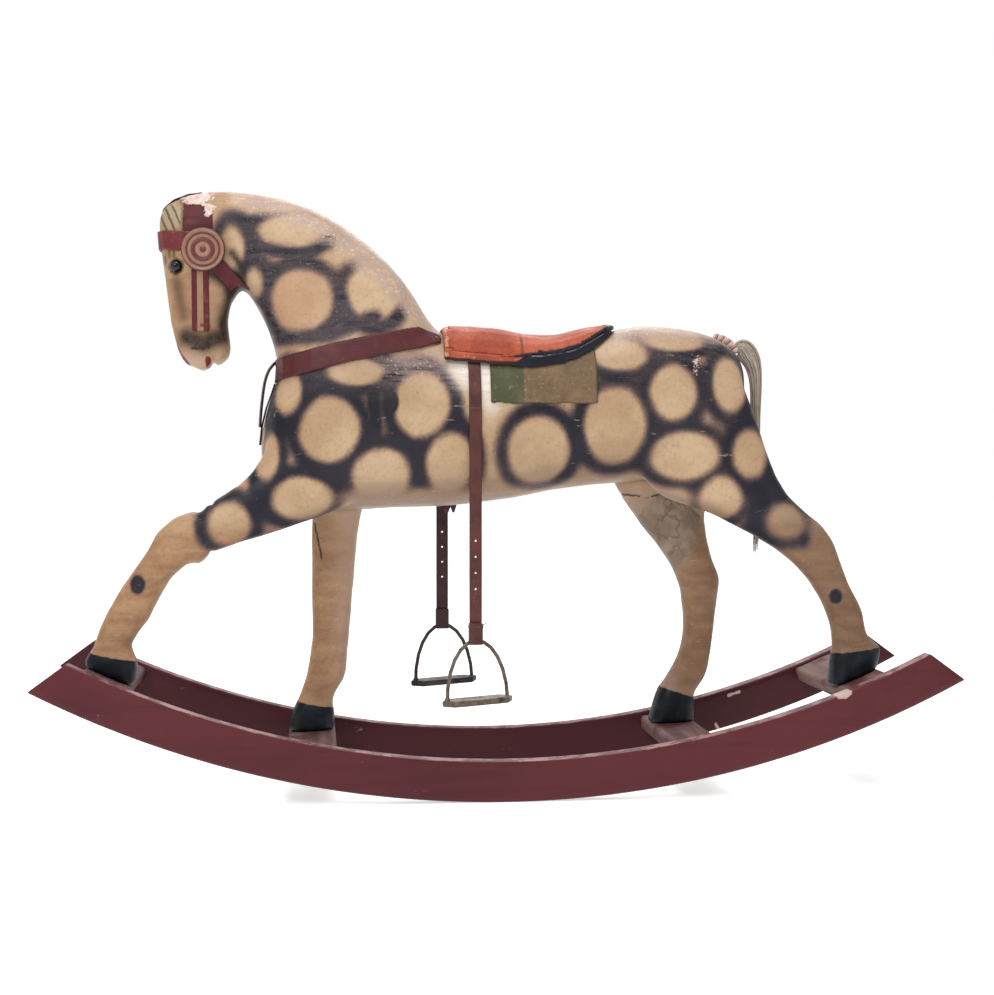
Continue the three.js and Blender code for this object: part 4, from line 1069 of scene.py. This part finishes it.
def make_poll_edge():
    """The broken edge of old leather that runs over the poll."""
    tree = horse_tree()
    centre = Vector((-0.408, -0.009, 0.742))
    path = []
    for i in range(40):
        angle = math.radians(150 - 78 * i / 39)
        away = Vector((math.cos(angle), 0, math.sin(angle)))
        hit = tree.ray_cast(centre + away * 0.12, -away)[0]
        path.append(hit + away * (0.8 + 0.3 * math.sin(i * 0.5)) * MM)
    rows = tube_rows(path, lambda t: (0.5 + 1.1 * math.sin(math.pi * t)) * MM, 10)
    dress(link("poll_edge", grid_mesh("poll_edge", rows, closed_across=True, caps=True)), bpy.data.materials["thong_skin"], "worn_leather")


def make_keeper_wire():
    """A thin wire wound round the near loop, with a loose end."""
    low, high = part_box("stirrup_loop_left")
    cx, cy, cz = (low[0] + high[0]) / 2, (low[1] + high[1]) / 2, high[2] - 0.006
    half_x, half_y = (high[0] - low[0]) / 2 + 0.0006, (high[1] - low[1]) / 2 + 0.0006
    path = []
    for i in range(62):
        angle = 2 * math.pi * i / 56 - 0.3
        c, s = math.cos(angle), math.sin(angle)
        path.append(Vector((cx + half_x * math.copysign(abs(c) ** 0.35, c), cy + half_y * math.copysign(abs(s) ** 0.35, s), cz + 0.00004 * i)))
    path += [path[-1] + Vector((0.0012 * k, -0.0003 * k, 0.0008 * k)) for k in range(1, 5)]
    rows = tube_rows(path, lambda t: 0.00055, 8)
    dress(link("keeper_wire", grid_mesh("keeper_wire", rows, closed_across=True, caps=True)), near_metal, "stirrup_metal")


def make_girth_scrap():
    """A torn end of the old girth, still nailed under the belly beside the far strap."""
    draw = random.Random(5)
    tree = horse_tree()
    rows = []
    for i in range(13):
        x = (-68 + 15 * i / 12) * MM
        hit = tree.ray_cast(Vector((x, 0.03, 0.2)), Vector((0, 0, 1)))[0]
        length = (12 + 4 * math.sin(i * 0.9) + draw.uniform(-1.5, 1.5)) * MM
        rows.append([Vector((x + 0.0006 * math.sin(k), 0.03 + 0.00025 * k * k * 0.3, hit.z + 0.002 - length * k / 7)) for k in range(8)])
    scrap = link("girth_scrap", grid_mesh("girth_scrap", rows))
    thick = scrap.modifiers.new("leather", "SOLIDIFY")
    thick.thickness = 0.0018
    thick.offset = 0
    dress(scrap, old_leather, "worn_leather")


make_tacks()
make_poll_edge()
make_keeper_wire()
make_girth_scrap()

floor = bmesh.new()
bmesh.ops.create_grid(floor, x_segments=1, y_segments=1, size=14)
floor_mesh = bpy.data.meshes.new("floor")
floor.to_mesh(floor_mesh)
floor.free()
floor_mesh.materials.append(pale_floor())
ground = link("floor", floor_mesh)
ground.location.z = -0.0003
